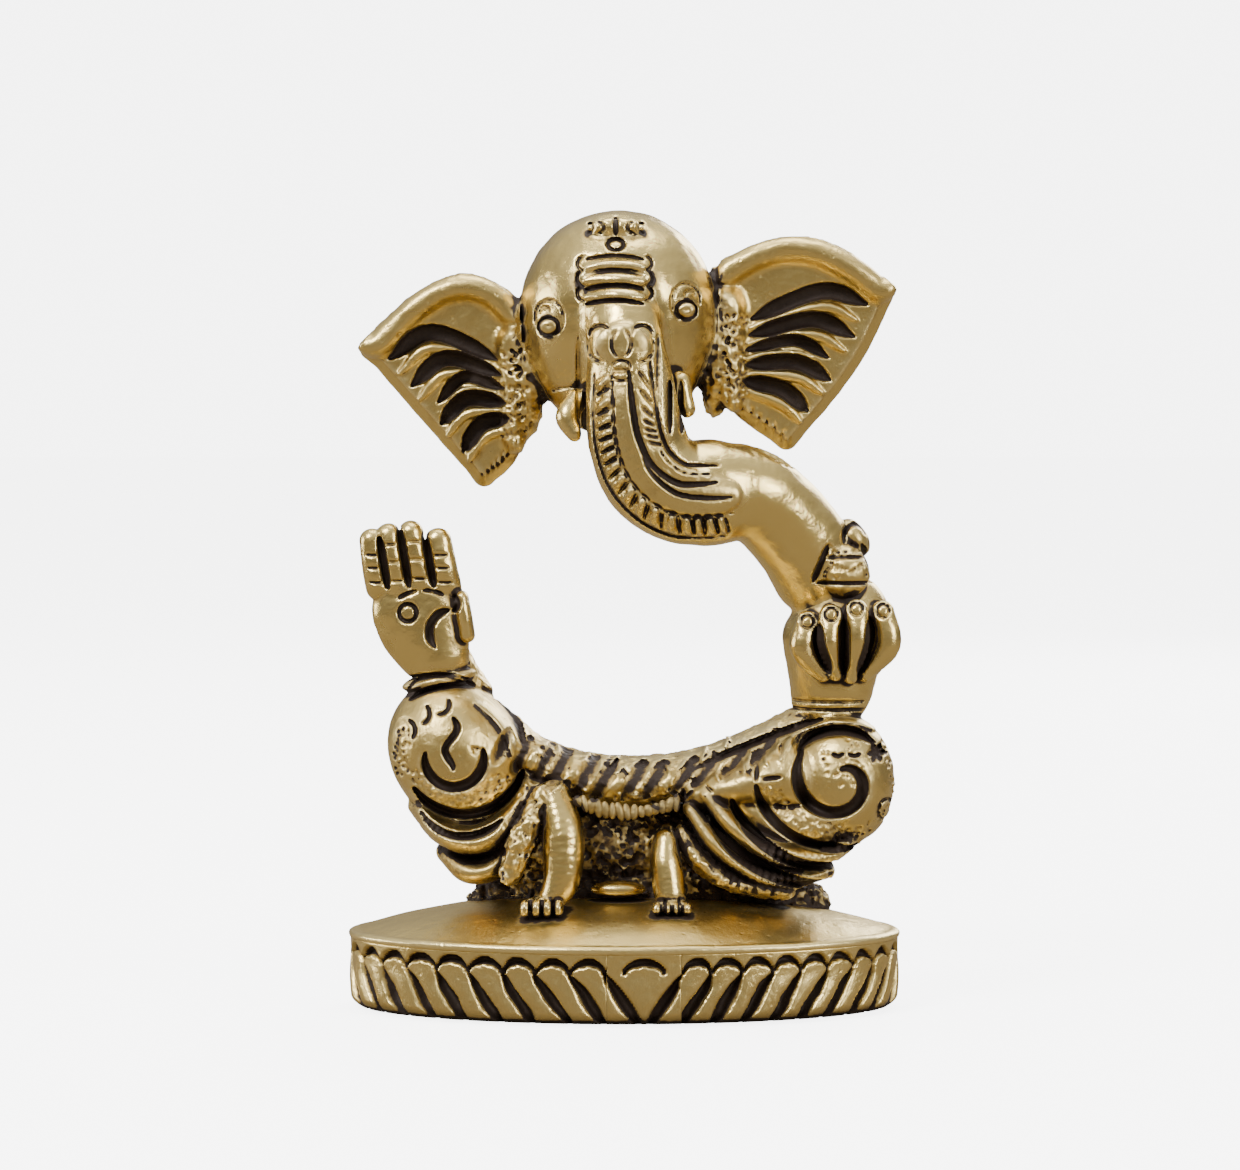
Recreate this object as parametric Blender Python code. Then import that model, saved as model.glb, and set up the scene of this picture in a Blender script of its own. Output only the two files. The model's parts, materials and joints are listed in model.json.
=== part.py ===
"""Small cast brass figurine: an elephant-headed deity whose open body is a crescent on an oval plinth.

The real thing is one lost-wax casting. Its wax is put together from separately modelled pieces, and
each of those pieces is one object here. Left and right are the viewer's, looking at the front.

Units are metres, written as millimetres times MM. +Z is up, -Y is the front, and the origin is the
middle of the plinth's underside. Run it with: blender --background --python part.py
"""

import math

import bmesh
import bpy
from mathutils import Matrix, Vector

MM = 0.001

# Driving dimensions, in millimetres.
TOTAL_HEIGHT = 75.0
BASE_HALF_WIDTH = 26.0
BASE_HALF_DEPTH = 15.0
CAP_UNDERSIDE = 6.3  # the cap rests on the core from here up
RIM_HEIGHT = 7.2  # top of the plinth's outer edge
DOME_HEIGHT = 10.6  # middle of the plinth's low dome, where the figure stands
PETALS_PER_SIDE = 19
BUD_OFFSET = 1.8  # the petals' mirror line is a little right of the middle
FINGER = 1.0  # half the thickness of a finger
GAP = 0.3  # clearance between neighbouring pieces

COLOURS = {
    "polished_brass": ((0.76, 0.56, 0.22, 1.0), 0.24),
    "antique_brass": ((0.58, 0.42, 0.17, 1.0), 0.36),
    "dark_patina": ((0.12, 0.08, 0.04, 1.0), 0.62),
}


# ---------------------------------------------------------------- scene and materials


def clear_scene():
    for old in list(bpy.data.objects):
        bpy.data.objects.remove(old)


def brass(name):
    """A Principled material with the slot's colour and roughness, fully metallic."""
    colour, roughness = COLOURS[name]
    material = bpy.data.materials.get(name) or bpy.data.materials.new(name)
    material.use_nodes = True
    shader = material.node_tree.nodes["Principled BSDF"]
    shader.inputs["Base Color"].default_value = colour
    shader.inputs["Roughness"].default_value = roughness
    shader.inputs["Metallic"].default_value = 1.0
    return material


# ---------------------------------------------------------------- shapes, each returned as a bmesh


def skin_rings(rings):
    """Joins rings of points, in order, into one closed solid. A ring of one point is a tip."""
    bm = bmesh.new()
    loops = [[bm.verts.new(p) for p in ring] for ring in rings]
    for low, high in zip(loops, loops[1:]):
        count = max(len(low), len(high))
        for i in range(count):
            j = (i + 1) % count
            corners = [low[i % len(low)], low[j % len(low)], high[j % len(high)], high[i % len(high)]]
            bm.faces.new(list(dict.fromkeys(corners)))
    for end in (loops[0], loops[-1]):
        if len(end) > 2:
            bm.faces.new(end)
    bmesh.ops.recalc_face_normals(bm, faces=bm.faces)
    return bm


def smooth_path(stations, steps):
    """Catmull-Rom samples through stations, which are tuples of numbers of one length."""
    rows = [Vector(s) for s in stations]
    rows = [2 * rows[0] - rows[1], *rows, 2 * rows[-1] - rows[-2]]
    out = []
    for a, b, c, d in zip(rows, rows[1:], rows[2:], rows[3:]):
        for k in range(steps):
            t = k / steps
            out.append(
                0.5 * (2 * b + (c - a) * t + (2 * a - 5 * b + 4 * c - d) * t**2
                       + (3 * b - a - 3 * c + d) * t**3)
            )
    return [*out, rows[-2]]


def tube(stations, sides=10, steps=2, ends=None):
    """A tube of changing oval section with rounded ends.

    Each station is (x, y, z, half_width, half_depth). The width lies in the XZ plane across the path
    and the depth across both. ends gives the lengths of the two rounded ends.
    """
    samples = smooth_path(stations, steps)
    centres = [Vector(s[:3]) for s in samples]
    halves = [(s[3], s[4]) for s in samples]
    ends = ends or (min(halves[0]), min(halves[-1]))

    def ring(centre, tangent, width, depth):
        across = tangent.cross(Vector((0, 1, 0))).normalized()
        outward = across.cross(tangent).normalized()
        turns = [2 * math.pi * k / sides for k in range(sides)]
        return [centre + across * width * math.cos(a) + outward * depth * math.sin(a) for a in turns]

    tangents = [
        (centres[min(i + 1, len(centres) - 1)] - centres[max(i - 1, 0)]).normalized()
        for i in range(len(centres))
    ]
    rings = [ring(c, t, *h) for c, t, h in zip(centres, tangents, halves)]
    round_at = math.radians(50)
    for at, way, length in ((0, -1, ends[0]), (-1, 1, ends[1])):
        direction = tangents[at] * way
        width, depth = halves[at]
        shoulder = ring(
            centres[at] + direction * length * math.sin(round_at),
            tangents[at],
            width * math.cos(round_at),
            depth * math.cos(round_at),
        )
        cap = [shoulder, [centres[at] + direction * length]]
        rings = cap[::-1] + rings if way < 0 else rings + cap
    return skin_rings(rings)


def ovoid(centre, radii, tilt=0.0, sides=12):
    """An ellipsoid turned by tilt degrees about Y."""
    bm = bmesh.new()
    bmesh.ops.create_uvsphere(bm, u_segments=sides, v_segments=sides * 2 // 3, radius=1.0)
    turn = Matrix.Rotation(math.radians(tilt), 4, "Y")
    size = Matrix.Diagonal((*radii, 1.0))
    bmesh.ops.transform(bm, matrix=Matrix.Translation(centre) @ turn @ size, verts=bm.verts)
    return bm


def oval_stack(rows, columns=40, centre=(0.0, 0.0)):
    """Ovals stacked up Z. Each row is (z, half_width, half_depth)."""
    turns = [2 * math.pi * k / columns for k in range(columns)]
    return skin_rings(
        [
            [Vector((centre[0] + hx * math.cos(a), centre[1] + hy * math.sin(a), z)) for a in turns]
            for z, hx, hy in rows
        ]
    )


def plate(outline, front, back, rim=0.9):
    """A flat plate in the XZ plane whose two faces are inset by rim, so that its edge is rounded."""
    points = [Vector((x, 0, z)) for x, z in outline]
    middle = sum(points, Vector()) / len(points)

    def ring(y, inset):
        return [
            p + (middle - p).normalized() * inset + Vector((0, y, 0))
            for p in points
        ]

    return skin_rings(
        [ring(front, 2 * rim), ring(front + rim, 0.4 * rim), ring((front + back) / 2, 0),
         ring(back - rim, 0.4 * rim), ring(back, 2 * rim)]
    )


def petal_band(side):
    """One half of the ring of slanted petals round the plinth. side is -1 for left and 1 for right."""
    thickness, groove, lean = 1.9, 0.8, 0.9  # lean is how many petals the slant crosses
    bottom, top = GAP, CAP_UNDERSIDE - GAP
    levels = [(bottom, 1.1), (bottom + 0.7, 0.4), (top - 0.8, 0.1), (top, 0.4)]  # height, inset
    margin = math.radians(3.0)
    start = math.asin(BUD_OFFSET * side / BASE_HALF_WIDTH)
    sweep = math.pi - 2 * margin

    def wall(share, z, depth):
        angle = -math.pi / 2 + side * (margin + sweep * share + start * (1 - 2 * share))
        hx, hy = BASE_HALF_WIDTH - depth, BASE_HALF_DEPTH - depth
        return Vector((hx * math.cos(angle), hy * math.sin(angle), z))

    def depth_at(share, z, inset):
        crossed = lean * (z - bottom) / (top - bottom)
        wave = 0.5 - 0.5 * math.cos(2 * math.pi * (PETALS_PER_SIDE * share - crossed))
        return inset + groove * wave**2

    rings = []
    columns = PETALS_PER_SIDE * 4
    for k in range(columns + 1):
        share = k / columns
        outside = [wall(share, z, depth_at(share, z, inset)) for z, inset in levels]
        inside = [wall(share, top, thickness), wall(share, bottom, thickness)]
        rings.append(outside + inside)
    return skin_rings(rings)


def bud(y_side):
    """The upright petal where the two slants meet, at the front (-1) or the back (1)."""
    y = y_side * (BASE_HALF_DEPTH - 0.75)
    foot, middle, top = 1.2, 3.2, 4.8
    return tube(
        [(BUD_OFFSET, y, foot, 0.4, 0.5), (BUD_OFFSET, y, middle, 0.7, 0.6), (BUD_OFFSET, y, top, 1.0, 0.6)],
        sides=8,
        ends=(0.5, 0.9),
    )


def finger(base, middle, tip, size=FINGER):
    """A bent finger through three (x, y, z) points. size is half its thickness."""
    sizes = (size, size * 1.05, size * 0.8)
    return tube([(*p, r, r) for p, r in zip((base, middle, tip), sizes)], sides=8)


# ---------------------------------------------------------------- the pieces


def plinth_core():
    """The solid block inside the petals. Its flat underside is what the figurine stands on."""
    top = CAP_UNDERSIDE - GAP
    rows = [(0.0, 2.9), (0.6, 2.3), (top, 2.3)]  # height, inset
    return oval_stack([(z, BASE_HALF_WIDTH - i, BASE_HALF_DEPTH - i) for z, i in rows])


def plinth_cap():
    """A thin plain edge under a low polished dome."""
    edge = [(CAP_UNDERSIDE, 0.98), (CAP_UNDERSIDE + 0.4, 1.0), (RIM_HEIGHT, 1.0)]
    rise = DOME_HEIGHT - RIM_HEIGHT
    dome = [(RIM_HEIGHT + rise * (1 - r**2.6), r) for r in (0.9, 0.72, 0.5, 0.25)]
    return oval_stack([(z, BASE_HALF_WIDTH * r, BASE_HALF_DEPTH * r) for z, r in edge + dome])


def seat_mound():
    """The rough mass behind the shins, which carries the crescent."""
    rows = [(9.0, 17.4, 5.6), (11.4, 16.8, 5.4), (14.4, 12.4, 4.6), (18.8, 9.6, 4.2)]
    return oval_stack(rows, columns=20, centre=(2.2, 3.0))


def waist_crescent():
    """The hatched sickle that stands for the body, open to the air above it."""
    stations = [
        (-13.2, 1.2, 27.0, 2.2, 4.6),
        (-8.0, 0.6, 23.0, 2.3, 5.2),
        (-0.2, 0.2, 21.2, 2.4, 5.4),
        (8.4, 0.5, 22.4, 2.3, 5.2),
        (16.5, 1.2, 26.0, 2.2, 4.4),
    ]
    return tube(stations, sides=14, steps=3)


def waist_fringe():
    """The beaded edge that hangs below the front of the crescent."""
    stations = [
        (-4.0, -5.6, 19.5, 0.9, 1.0),
        (-1.4, -5.9, 18.8, 1.0, 1.1),
        (1.4, -5.9, 18.7, 1.0, 1.1),
        (4.2, -5.6, 19.2, 0.9, 1.0),
    ]
    return tube(stations, sides=8)


def skull():
    stations = [
        (-0.4, 1.6, 55.8, 5.6, 5.2),
        (-0.5, 1.4, 58.4, 7.6, 7.2),
        (-0.6, 1.2, 62.4, 8.8, 8.4),
        (-0.6, 1.0, 66.4, 9.1, 9.0),
        (-0.4, 1.0, 69.6, 8.5, 8.6),
        (-0.2, 1.0, 72.0, 6.8, 7.0),
    ]
    return tube(stations, sides=18, ends=(2.2, TOTAL_HEIGHT - stations[-1][2]))


def sweep(start, pull, end, steps):
    """Points along a curve from start to end that bends towards pull, without its last point."""
    shares = [k / steps for k in range(steps)]
    return [
        tuple((1 - t) ** 2 * a + 2 * t * (1 - t) * b + t * t * c for a, b, c in zip(start, pull, end))
        for t in shares
    ]


def ear(root_top, crown, tip, edge, lobe, under, root_low):
    """A fan-shaped ear: over the crown to the tip, down the outer edge to the lobe, and back under.

    The root points lie on the head. crown, edge and under are what the three sweeps bend towards.
    """
    over = sweep(root_top, crown, tip, steps=6)
    outside = sweep(tip, edge, lobe, steps=4)
    back_under = sweep(lobe, under, root_low, steps=2)
    return plate([*over, *outside, *back_under, root_low], front=0.6, back=5.0)


def left_ear():
    """The wider, lower ear, whose outer edge runs nearly straight down to the lobe."""
    return ear(root_top=(-10.0, 66.5), crown=(-16.0, 73.5), tip=(-25.0, 62.0), edge=(-19.5, 55.5),
               lobe=(-13.5, 49.0), under=(-10.5, 50.0), root_low=(-9.2, 54.0))


def right_ear():
    """The ear that is carried higher, with a fuller outer edge."""
    return ear(root_top=(9.0, 70.0), crown=(17.0, 76.0), tip=(25.5, 67.5), edge=(23.0, 59.5),
               lobe=(15.5, 52.5), under=(11.5, 54.5), root_low=(9.0, 57.5))


# Every piece with its shape and its finish. A piece that comes earlier keeps its whole shape, and a
# later one is cut back, with the GAP, where the two would run into each other.
PIECES = {
    # plinth
    "plinth_cap": (plinth_cap, "polished_brass"),
    "plinth_core": (plinth_core, "antique_brass"),
    "front_bud": (lambda: bud(-1), "antique_brass"),
    "back_bud": (lambda: bud(1), "antique_brass"),
    "left_petal_band": (lambda: petal_band(-1), "antique_brass"),
    "right_petal_band": (lambda: petal_band(1), "antique_brass"),
    # hips, knees and waist
    "waist_crescent": (waist_crescent, "antique_brass"),
    "left_bangle": (lambda: ovoid((-17.4, -1.6, 31.0), (3.6, 2.9, 0.9), tilt=-12), "antique_brass"),
    "left_knee": (lambda: ovoid((-15.8, -1.6, 24.3), (6.1, 6.1, 7.3), tilt=-30, sides=14), "antique_brass"),
    "right_knee": (lambda: ovoid((20.3, -1.8, 21.5), (5.3, 5.9, 6.2), sides=14), "antique_brass"),
    "seat_mound": (seat_mound, "dark_patina"),
    # folded legs, each a thigh under cloth folds, a shin and a foot
    "left_shin": (
        lambda: tube([(-6.6, -4.8, 20.2, 1.7, 2.4), (-5.6, -6.4, 16.6, 2.0, 2.4),
                      (-5.8, -7.2, 12.9, 1.7, 2.1), (-6.6, -7.4, 10.9, 1.3, 1.7)]),
        "polished_brass",
    ),
    "right_shin": (
        lambda: tube([(3.9, -5.4, 16.4, 1.2, 1.9), (3.8, -6.2, 14.2, 1.5, 2.0),
                      (4.2, -7.0, 11.2, 1.6, 1.8)]),
        "polished_brass",
    ),
    "left_toes": (lambda: ovoid((-7.6, -8.4, 10.3), (2.1, 1.5, 1.0)), "polished_brass"),
    "right_toes": (lambda: ovoid((4.4, -8.2, 10.2), (1.9, 1.4, 0.9)), "polished_brass"),
    "left_fold_upper": (
        lambda: tube([(-19.2, -0.8, 19.1, 1.1, 4.4), (-16.8, -2.4, 16.9, 1.4, 5.0),
                      (-13.8, -3.0, 16.2, 1.5, 5.0), (-11.0, -2.8, 17.8, 1.4, 4.6),
                      (-8.6, -2.0, 21.0, 1.2, 3.8)]),
        "antique_brass",
    ),
    "left_fold_lower": (
        lambda: tube([(-16.6, -0.4, 14.8, 1.1, 4.0), (-14.6, -1.6, 13.3, 1.4, 4.6),
                      (-12.2, -2.0, 13.7, 1.4, 4.6), (-10.3, -2.4, 15.9, 1.2, 4.0)]),
        "antique_brass",
    ),
    "left_hem": (
        lambda: tube([(-7.6, -6.2, 20.6, 0.9, 1.3), (-9.4, -7.0, 16.8, 1.2, 1.5),
                      (-10.6, -6.8, 13.2, 1.1, 1.5)], sides=8),
        "antique_brass",
    ),
    "right_lap": (
        lambda: tube([(7.4, -3.4, 21.0, 0.9, 3.0), (11.4, -3.6, 21.4, 2.2, 4.2),
                      (16.0, -2.8, 22.0, 3.9, 4.8)]),
        "antique_brass",
    ),
    "right_fold_upper": (
        lambda: tube([(7.6, -4.0, 20.6, 0.8, 2.8), (10.4, -4.2, 17.4, 1.1, 3.8),
                      (14.4, -4.0, 15.1, 1.2, 4.6), (18.4, -3.0, 14.9, 1.2, 4.8),
                      (21.2, -1.6, 16.2, 1.0, 4.2)]),
        "antique_brass",
    ),
    "right_fold_middle": (
        lambda: tube([(6.2, -4.2, 19.2, 0.7, 2.4), (8.5, -4.4, 16.0, 1.0, 3.4),
                      (12.0, -4.0, 13.6, 1.1, 4.2), (15.8, -3.0, 12.7, 1.1, 4.4),
                      (18.8, -1.8, 13.2, 1.0, 3.8)]),
        "antique_brass",
    ),
    "right_fold_lower": (
        lambda: tube([(5.4, -4.6, 17.0, 0.7, 2.0), (7.0, -4.8, 14.4, 1.0, 2.8),
                      (10.2, -3.8, 12.3, 1.0, 3.6), (15.2, -1.8, 11.3, 1.0, 3.8)]),
        "antique_brass",
    ),
    "waist_fringe": (waist_fringe, "dark_patina"),
    "offering_step": (lambda: ovoid((-0.5, -3.4, 11.0), (2.6, 1.6, 1.3)), "polished_brass"),
    # raised hand, at the left
    "raised_palm": (
        lambda: tube([(-17.5, -1.8, 32.4, 3.2, 2.3), (-18.3, -1.9, 35.2, 3.9, 2.3),
                      (-19.0, -2.0, 38.0, 4.1, 2.2)], sides=12, ends=(1.2, 1.0)),
        "polished_brass",
    ),
    "left_forearm": (
        lambda: tube([(-16.2, 1.6, 34.0, 1.5, 2.0), (-15.6, 1.8, 31.0, 1.7, 2.6),
                      (-14.2, 1.8, 28.6, 1.8, 2.8)]),
        "antique_brass",
    ),
    "raised_little_finger": (
        lambda: finger((-22.9, -2.2, 39.8), (-23.3, -2.3, 41.6), (-23.8, -2.2, 43.4), size=0.75),
        "polished_brass",
    ),
    "raised_ring_finger": (
        lambda: finger((-21.2, -2.5, 39.8), (-21.8, -2.6, 42.2), (-22.3, -2.5, 44.6)),
        "polished_brass",
    ),
    "raised_middle_finger": (
        lambda: finger((-18.9, -2.6, 39.9), (-19.6, -2.7, 42.4), (-20.1, -2.6, 44.8), size=1.1),
        "polished_brass",
    ),
    "raised_index_finger": (
        lambda: finger((-16.5, -2.4, 39.2), (-17.2, -2.5, 41.4), (-17.8, -2.4, 43.2)),
        "polished_brass",
    ),
    "raised_thumb": (
        lambda: finger((-14.9, -3.0, 35.4), (-15.0, -3.2, 37.0), (-15.3, -3.1, 38.6), size=0.8),
        "polished_brass",
    ),
    # hand with the sweet, at the right
    "right_forearm": (
        lambda: tube([(19.2, 0.0, 28.4, 3.5, 3.6), (19.1, 0.0, 30.8, 3.7, 3.9),
                      (18.4, 0.2, 35.0, 3.6, 3.6)], sides=12),
        "polished_brass",
    ),
    "holding_palm": (lambda: ovoid((20.3, -1.4, 34.8), (5.0, 4.4, 5.6)), "polished_brass"),
    "holding_little_finger": (
        lambda: finger((17.4, -4.8, 32.2), (16.8, -5.4, 34.6), (17.1, -5.0, 36.8), size=0.95),
        "polished_brass",
    ),
    "holding_ring_finger": (
        lambda: finger((19.3, -5.5, 32.2), (19.1, -6.2, 35.0), (19.2, -5.6, 37.6)),
        "polished_brass",
    ),
    "holding_middle_finger": (
        lambda: finger((21.5, -5.3, 31.8), (21.5, -6.1, 35.0), (21.4, -5.4, 38.2)),
        "polished_brass",
    ),
    "holding_index_finger": (
        lambda: finger((23.7, -3.9, 32.0), (24.1, -4.5, 35.0), (23.8, -3.9, 37.9)),
        "polished_brass",
    ),
    "sweet": (
        lambda: tube([(20.5, -4.2, 40.4, 2.5, 2.3), (20.5, -4.2, 41.4, 2.3, 2.2),
                      (20.4, -4.0, 43.0, 1.0, 1.0)], ends=(0.7, 1.0)),
        "antique_brass",
    ),
    # head and trunk
    "skull": (skull, "polished_brass"),
    "trunk_root": (
        lambda: tube([(-0.6, -6.6, 66.6, 2.9, 2.4), (0.1, -8.0, 62.8, 3.4, 3.0),
                      (0.5, -8.4, 58.8, 4.0, 3.6), (0.8, -8.2, 55.6, 4.4, 4.0)], sides=12),
        "polished_brass",
    ),
    "trunk_bend": (
        lambda: tube([(1.2, -8.0, 53.2, 4.7, 4.1), (2.3, -7.6, 50.8, 4.9, 4.2),
                      (4.6, -7.0, 48.9, 5.0, 4.2), (7.2, -6.3, 48.6, 4.9, 4.2)], sides=12),
        "polished_brass",
    ),
    "trunk_arch": (
        lambda: tube([(8.2, -6.0, 48.7, 4.8, 4.2), (11.2, -5.0, 48.5, 4.5, 4.2),
                      (13.6, -4.0, 47.2, 4.3, 4.1), (16.6, -2.6, 43.9, 4.3, 4.0),
                      (18.0, -1.4, 41.0, 4.1, 3.8)], sides=12, steps=3),
        "polished_brass",
    ),
    "trunk_tip": (lambda: ovoid((21.0, -2.0, 44.2), (1.6, 2.2, 2.2), tilt=-30), "antique_brass"),
    "trunk_ornament": (
        lambda: tube([(0.2, -11.3, 59.8, 2.0, 0.9), (0.4, -12.1, 56.4, 2.3, 0.9),
                      (1.0, -12.0, 52.6, 2.4, 0.9), (3.4, -11.4, 49.6, 2.4, 0.9),
                      (6.8, -10.6, 48.4, 2.1, 0.9), (9.8, -9.6, 48.4, 1.3, 0.8)], sides=8, steps=3),
        "antique_brass",
    ),
    "brow_flower": (lambda: ovoid((-0.3, -11.3, 62.2), (2.4, 1.1, 1.9)), "antique_brass"),
    "forehead_mark": (lambda: ovoid((-0.9, -8.2, 68.2), (3.5, 1.0, 1.7)), "polished_brass"),
    "crown_mark": (lambda: ovoid((-0.8, -5.2, 73.0), (2.7, 1.5, 1.1)), "polished_brass"),
    "left_eye": (lambda: ovoid((-6.9, -5.8, 64.0), (1.2, 0.9, 0.9), sides=9), "antique_brass"),
    "right_eye": (lambda: ovoid((5.6, -6.0, 65.5), (1.2, 0.9, 0.9), sides=9), "antique_brass"),
    "left_tusk": (
        lambda: tube([(-5.0, -5.4, 57.0, 1.1, 1.2), (-5.5, -6.6, 55.0, 1.0, 1.1),
                      (-5.1, -7.6, 53.2, 0.6, 0.7)], sides=8),
        "polished_brass",
    ),
    "right_tusk": (
        lambda: tube([(5.2, -5.4, 59.0, 1.1, 1.4), (5.8, -6.0, 56.2, 1.0, 1.2)], sides=8),
        "polished_brass",
    ),
    "left_ear_root": (lambda: ovoid((-9.0, 2.8, 60.4), (1.9, 2.8, 6.6)), "antique_brass"),
    "right_ear_root": (lambda: ovoid((8.4, 2.8, 62.6), (1.9, 2.8, 6.8)), "antique_brass"),
    "left_ear": (left_ear, "antique_brass"),
    "right_ear": (right_ear, "antique_brass"),
}


# ---------------------------------------------------------------- assembly


def to_object(name, bm, material):
    """Turns a shape in millimetres into a named object in metres, with round faces shaded smooth."""
    bmesh.ops.scale(bm, vec=(MM, MM, MM), verts=bm.verts)
    bm.normal_update()
    mesh = bpy.data.meshes.new(name)
    bm.to_mesh(mesh)
    bm.free()
    mesh.materials.append(material)
    mesh.shade_smooth()
    mesh.set_sharp_from_angle(angle=math.radians(40))
    made = bpy.data.objects.new(name, mesh)
    bpy.context.scene.collection.objects.link(made)
    return made


def cutter_for(piece):
    """A hidden copy of a piece, grown by the GAP on every side, which cuts its neighbours."""
    grown = piece.data.copy()
    bm = bmesh.new()
    bm.from_mesh(grown)
    bm.normal_update()
    moves = [v.normal * GAP * MM for v in bm.verts]
    for vertex, move in zip(bm.verts, moves):
        vertex.co += move
    bm.to_mesh(grown)
    bm.free()
    cutter = bpy.data.objects.new("cutter_" + piece.name, grown)
    bpy.context.scene.collection.objects.link(cutter)
    cutter.hide_render = True
    cutter.display_type = "WIRE"
    return cutter


def box_of(piece):
    corners = [v.co for v in piece.data.vertices]
    low = Vector(min(c[i] for c in corners) for i in range(3))
    high = Vector(max(c[i] for c in corners) for i in range(3))
    return low, high


def boxes_meet(a, b):
    (low_a, high_a), (low_b, high_b) = box_of(a), box_of(b)
    return all(low_a[i] < high_b[i] and low_b[i] < high_a[i] for i in range(3))


def trim(piece, cutter):
    cut = piece.modifiers.new("clear_of_" + cutter.name, "BOOLEAN")
    cut.operation = "DIFFERENCE"
    cut.solver = "EXACT"
    cut.object = cutter


def build():
    clear_scene()
    made, cutters = [], {}
    for name, (shape, finish) in PIECES.items():
        piece = to_object(name, shape(), brass(finish))
        for earlier in made:
            if boxes_meet(piece, earlier):
                if earlier.name not in cutters:
                    cutters[earlier.name] = cutter_for(earlier)
                trim(piece, cutters[earlier.name])
        made.append(piece)


build()
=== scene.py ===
# %% [markdown]
# A small brass figurine: an elephant-headed deity whose body is an open crescent, on an oval plinth.
# The real one is a lost-wax casting. Wax forms are pressed together, lines are chased into them, and the
# metal is then blackened and polished back, so the high places shine and the grooves stay dark. This
# lesson follows those steps: the forms, the chasing, the petals, the patina, and the studio.

import json
import math

import bmesh
import bpy
import numpy as np
import openvdb
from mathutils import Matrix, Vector


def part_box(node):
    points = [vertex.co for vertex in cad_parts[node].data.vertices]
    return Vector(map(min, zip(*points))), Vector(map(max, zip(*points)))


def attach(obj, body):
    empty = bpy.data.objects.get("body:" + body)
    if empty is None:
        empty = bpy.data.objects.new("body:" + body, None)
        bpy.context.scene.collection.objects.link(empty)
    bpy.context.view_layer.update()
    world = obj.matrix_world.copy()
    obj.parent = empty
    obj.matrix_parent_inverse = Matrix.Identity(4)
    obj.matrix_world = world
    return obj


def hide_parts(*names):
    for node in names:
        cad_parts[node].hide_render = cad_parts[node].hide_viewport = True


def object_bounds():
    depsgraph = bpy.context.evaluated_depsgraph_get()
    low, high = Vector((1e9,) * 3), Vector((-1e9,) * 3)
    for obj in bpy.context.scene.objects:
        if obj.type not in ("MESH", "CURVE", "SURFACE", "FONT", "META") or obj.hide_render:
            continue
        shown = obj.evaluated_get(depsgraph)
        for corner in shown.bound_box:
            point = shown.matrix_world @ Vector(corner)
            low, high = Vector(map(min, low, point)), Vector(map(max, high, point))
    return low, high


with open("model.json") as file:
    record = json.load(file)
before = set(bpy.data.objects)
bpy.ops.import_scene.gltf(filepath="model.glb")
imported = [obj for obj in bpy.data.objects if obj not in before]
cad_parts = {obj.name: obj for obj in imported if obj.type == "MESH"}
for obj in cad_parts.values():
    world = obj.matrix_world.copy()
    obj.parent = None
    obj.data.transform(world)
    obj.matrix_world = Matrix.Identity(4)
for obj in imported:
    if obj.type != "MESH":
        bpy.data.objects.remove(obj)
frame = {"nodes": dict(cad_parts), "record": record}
cad_box = [list(corner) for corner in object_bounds()]
MM = 0.001
VOXEL = 0.15  # millimetres between the samples of the sculpted wax
BLOCK = 8  # samples along one side of a block that is worked or skipped as a whole
rng = np.random.default_rng(7)


def box_mm(node):
    """The middle of a CAD node and its half size, in millimetres."""
    low, high = (np.array(corner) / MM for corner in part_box(node))
    return (low + high) / 2, (high - low) / 2


def half_of(node):
    return box_mm(node)[1]


def spot(node, x=0.0, y=0.0, z=0.0):
    """A point inside a node, given as shares of its half size from the middle, -1 to 1."""
    middle, half = box_mm(node)
    return middle + half * np.array((x, y, z))


print("CAD box in mm:", np.round(np.array(cad_box) / MM, 1).tolist())

# %% [markdown]
# Hand-modelled wax is never quite smooth. A small table of random values, read between its entries, gives
# soft lumps at one scale and a porous skin at another. The seed is fixed, so each run is the same casting.

# %% Lumps and pores
TABLE = 32
table = rng.random((TABLE, TABLE, TABLE), dtype=np.float32) * 2 - 1


def read_grid(grid, place, smooth=False):
    """A grid's values at places between its entries. Past its end the grid starts again."""
    low = np.floor(place).astype(np.int32)
    part = place - low
    if smooth:
        part = part * part * (3 - 2 * part)
    total = np.zeros(len(place), dtype=np.float32)
    for corner in range(8):
        step = np.array([corner & 1, corner >> 1 & 1, corner >> 2 & 1])
        index = (low + step) % grid.shape
        total += np.prod(np.where(step, part, 1 - part), axis=1) * grid[tuple(index.T)]
    return total


def noise(points, size, shift=0.0):
    """Smooth values from -1 to 1 whose lumps are about size millimetres wide."""
    return read_grid(table, points / size + shift, smooth=True)

# %% [markdown]
# Each wax form is a rule that gives the distance from any point to its skin, below zero inside. Three kinds
# are enough: a ball for knuckles and knees, a limb that follows a path with an oval section, and a slab cut
# to an outline for the ears. Distances can be blended and carved freely, which a mesh of faces can't.

# %% Wax forms
def smooth_path(stations, steps=6):
    """Catmull-Rom samples through stations, which are rows of numbers of one length."""
    rows = np.array(stations, dtype=float)
    rows = np.vstack([2 * rows[0] - rows[1], rows, 2 * rows[-1] - rows[-2]])
    out = []
    for a, b, c, d in zip(rows, rows[1:], rows[2:], rows[3:]):
        for t in np.arange(steps) / steps:
            bend = (2 * a - 5 * b + 4 * c - d) * t**2 + (3 * b - a - 3 * c + d) * t**3
            out.append(0.5 * (2 * b + (c - a) * t + bend))
    return np.array([*out, rows[-2]])


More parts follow.
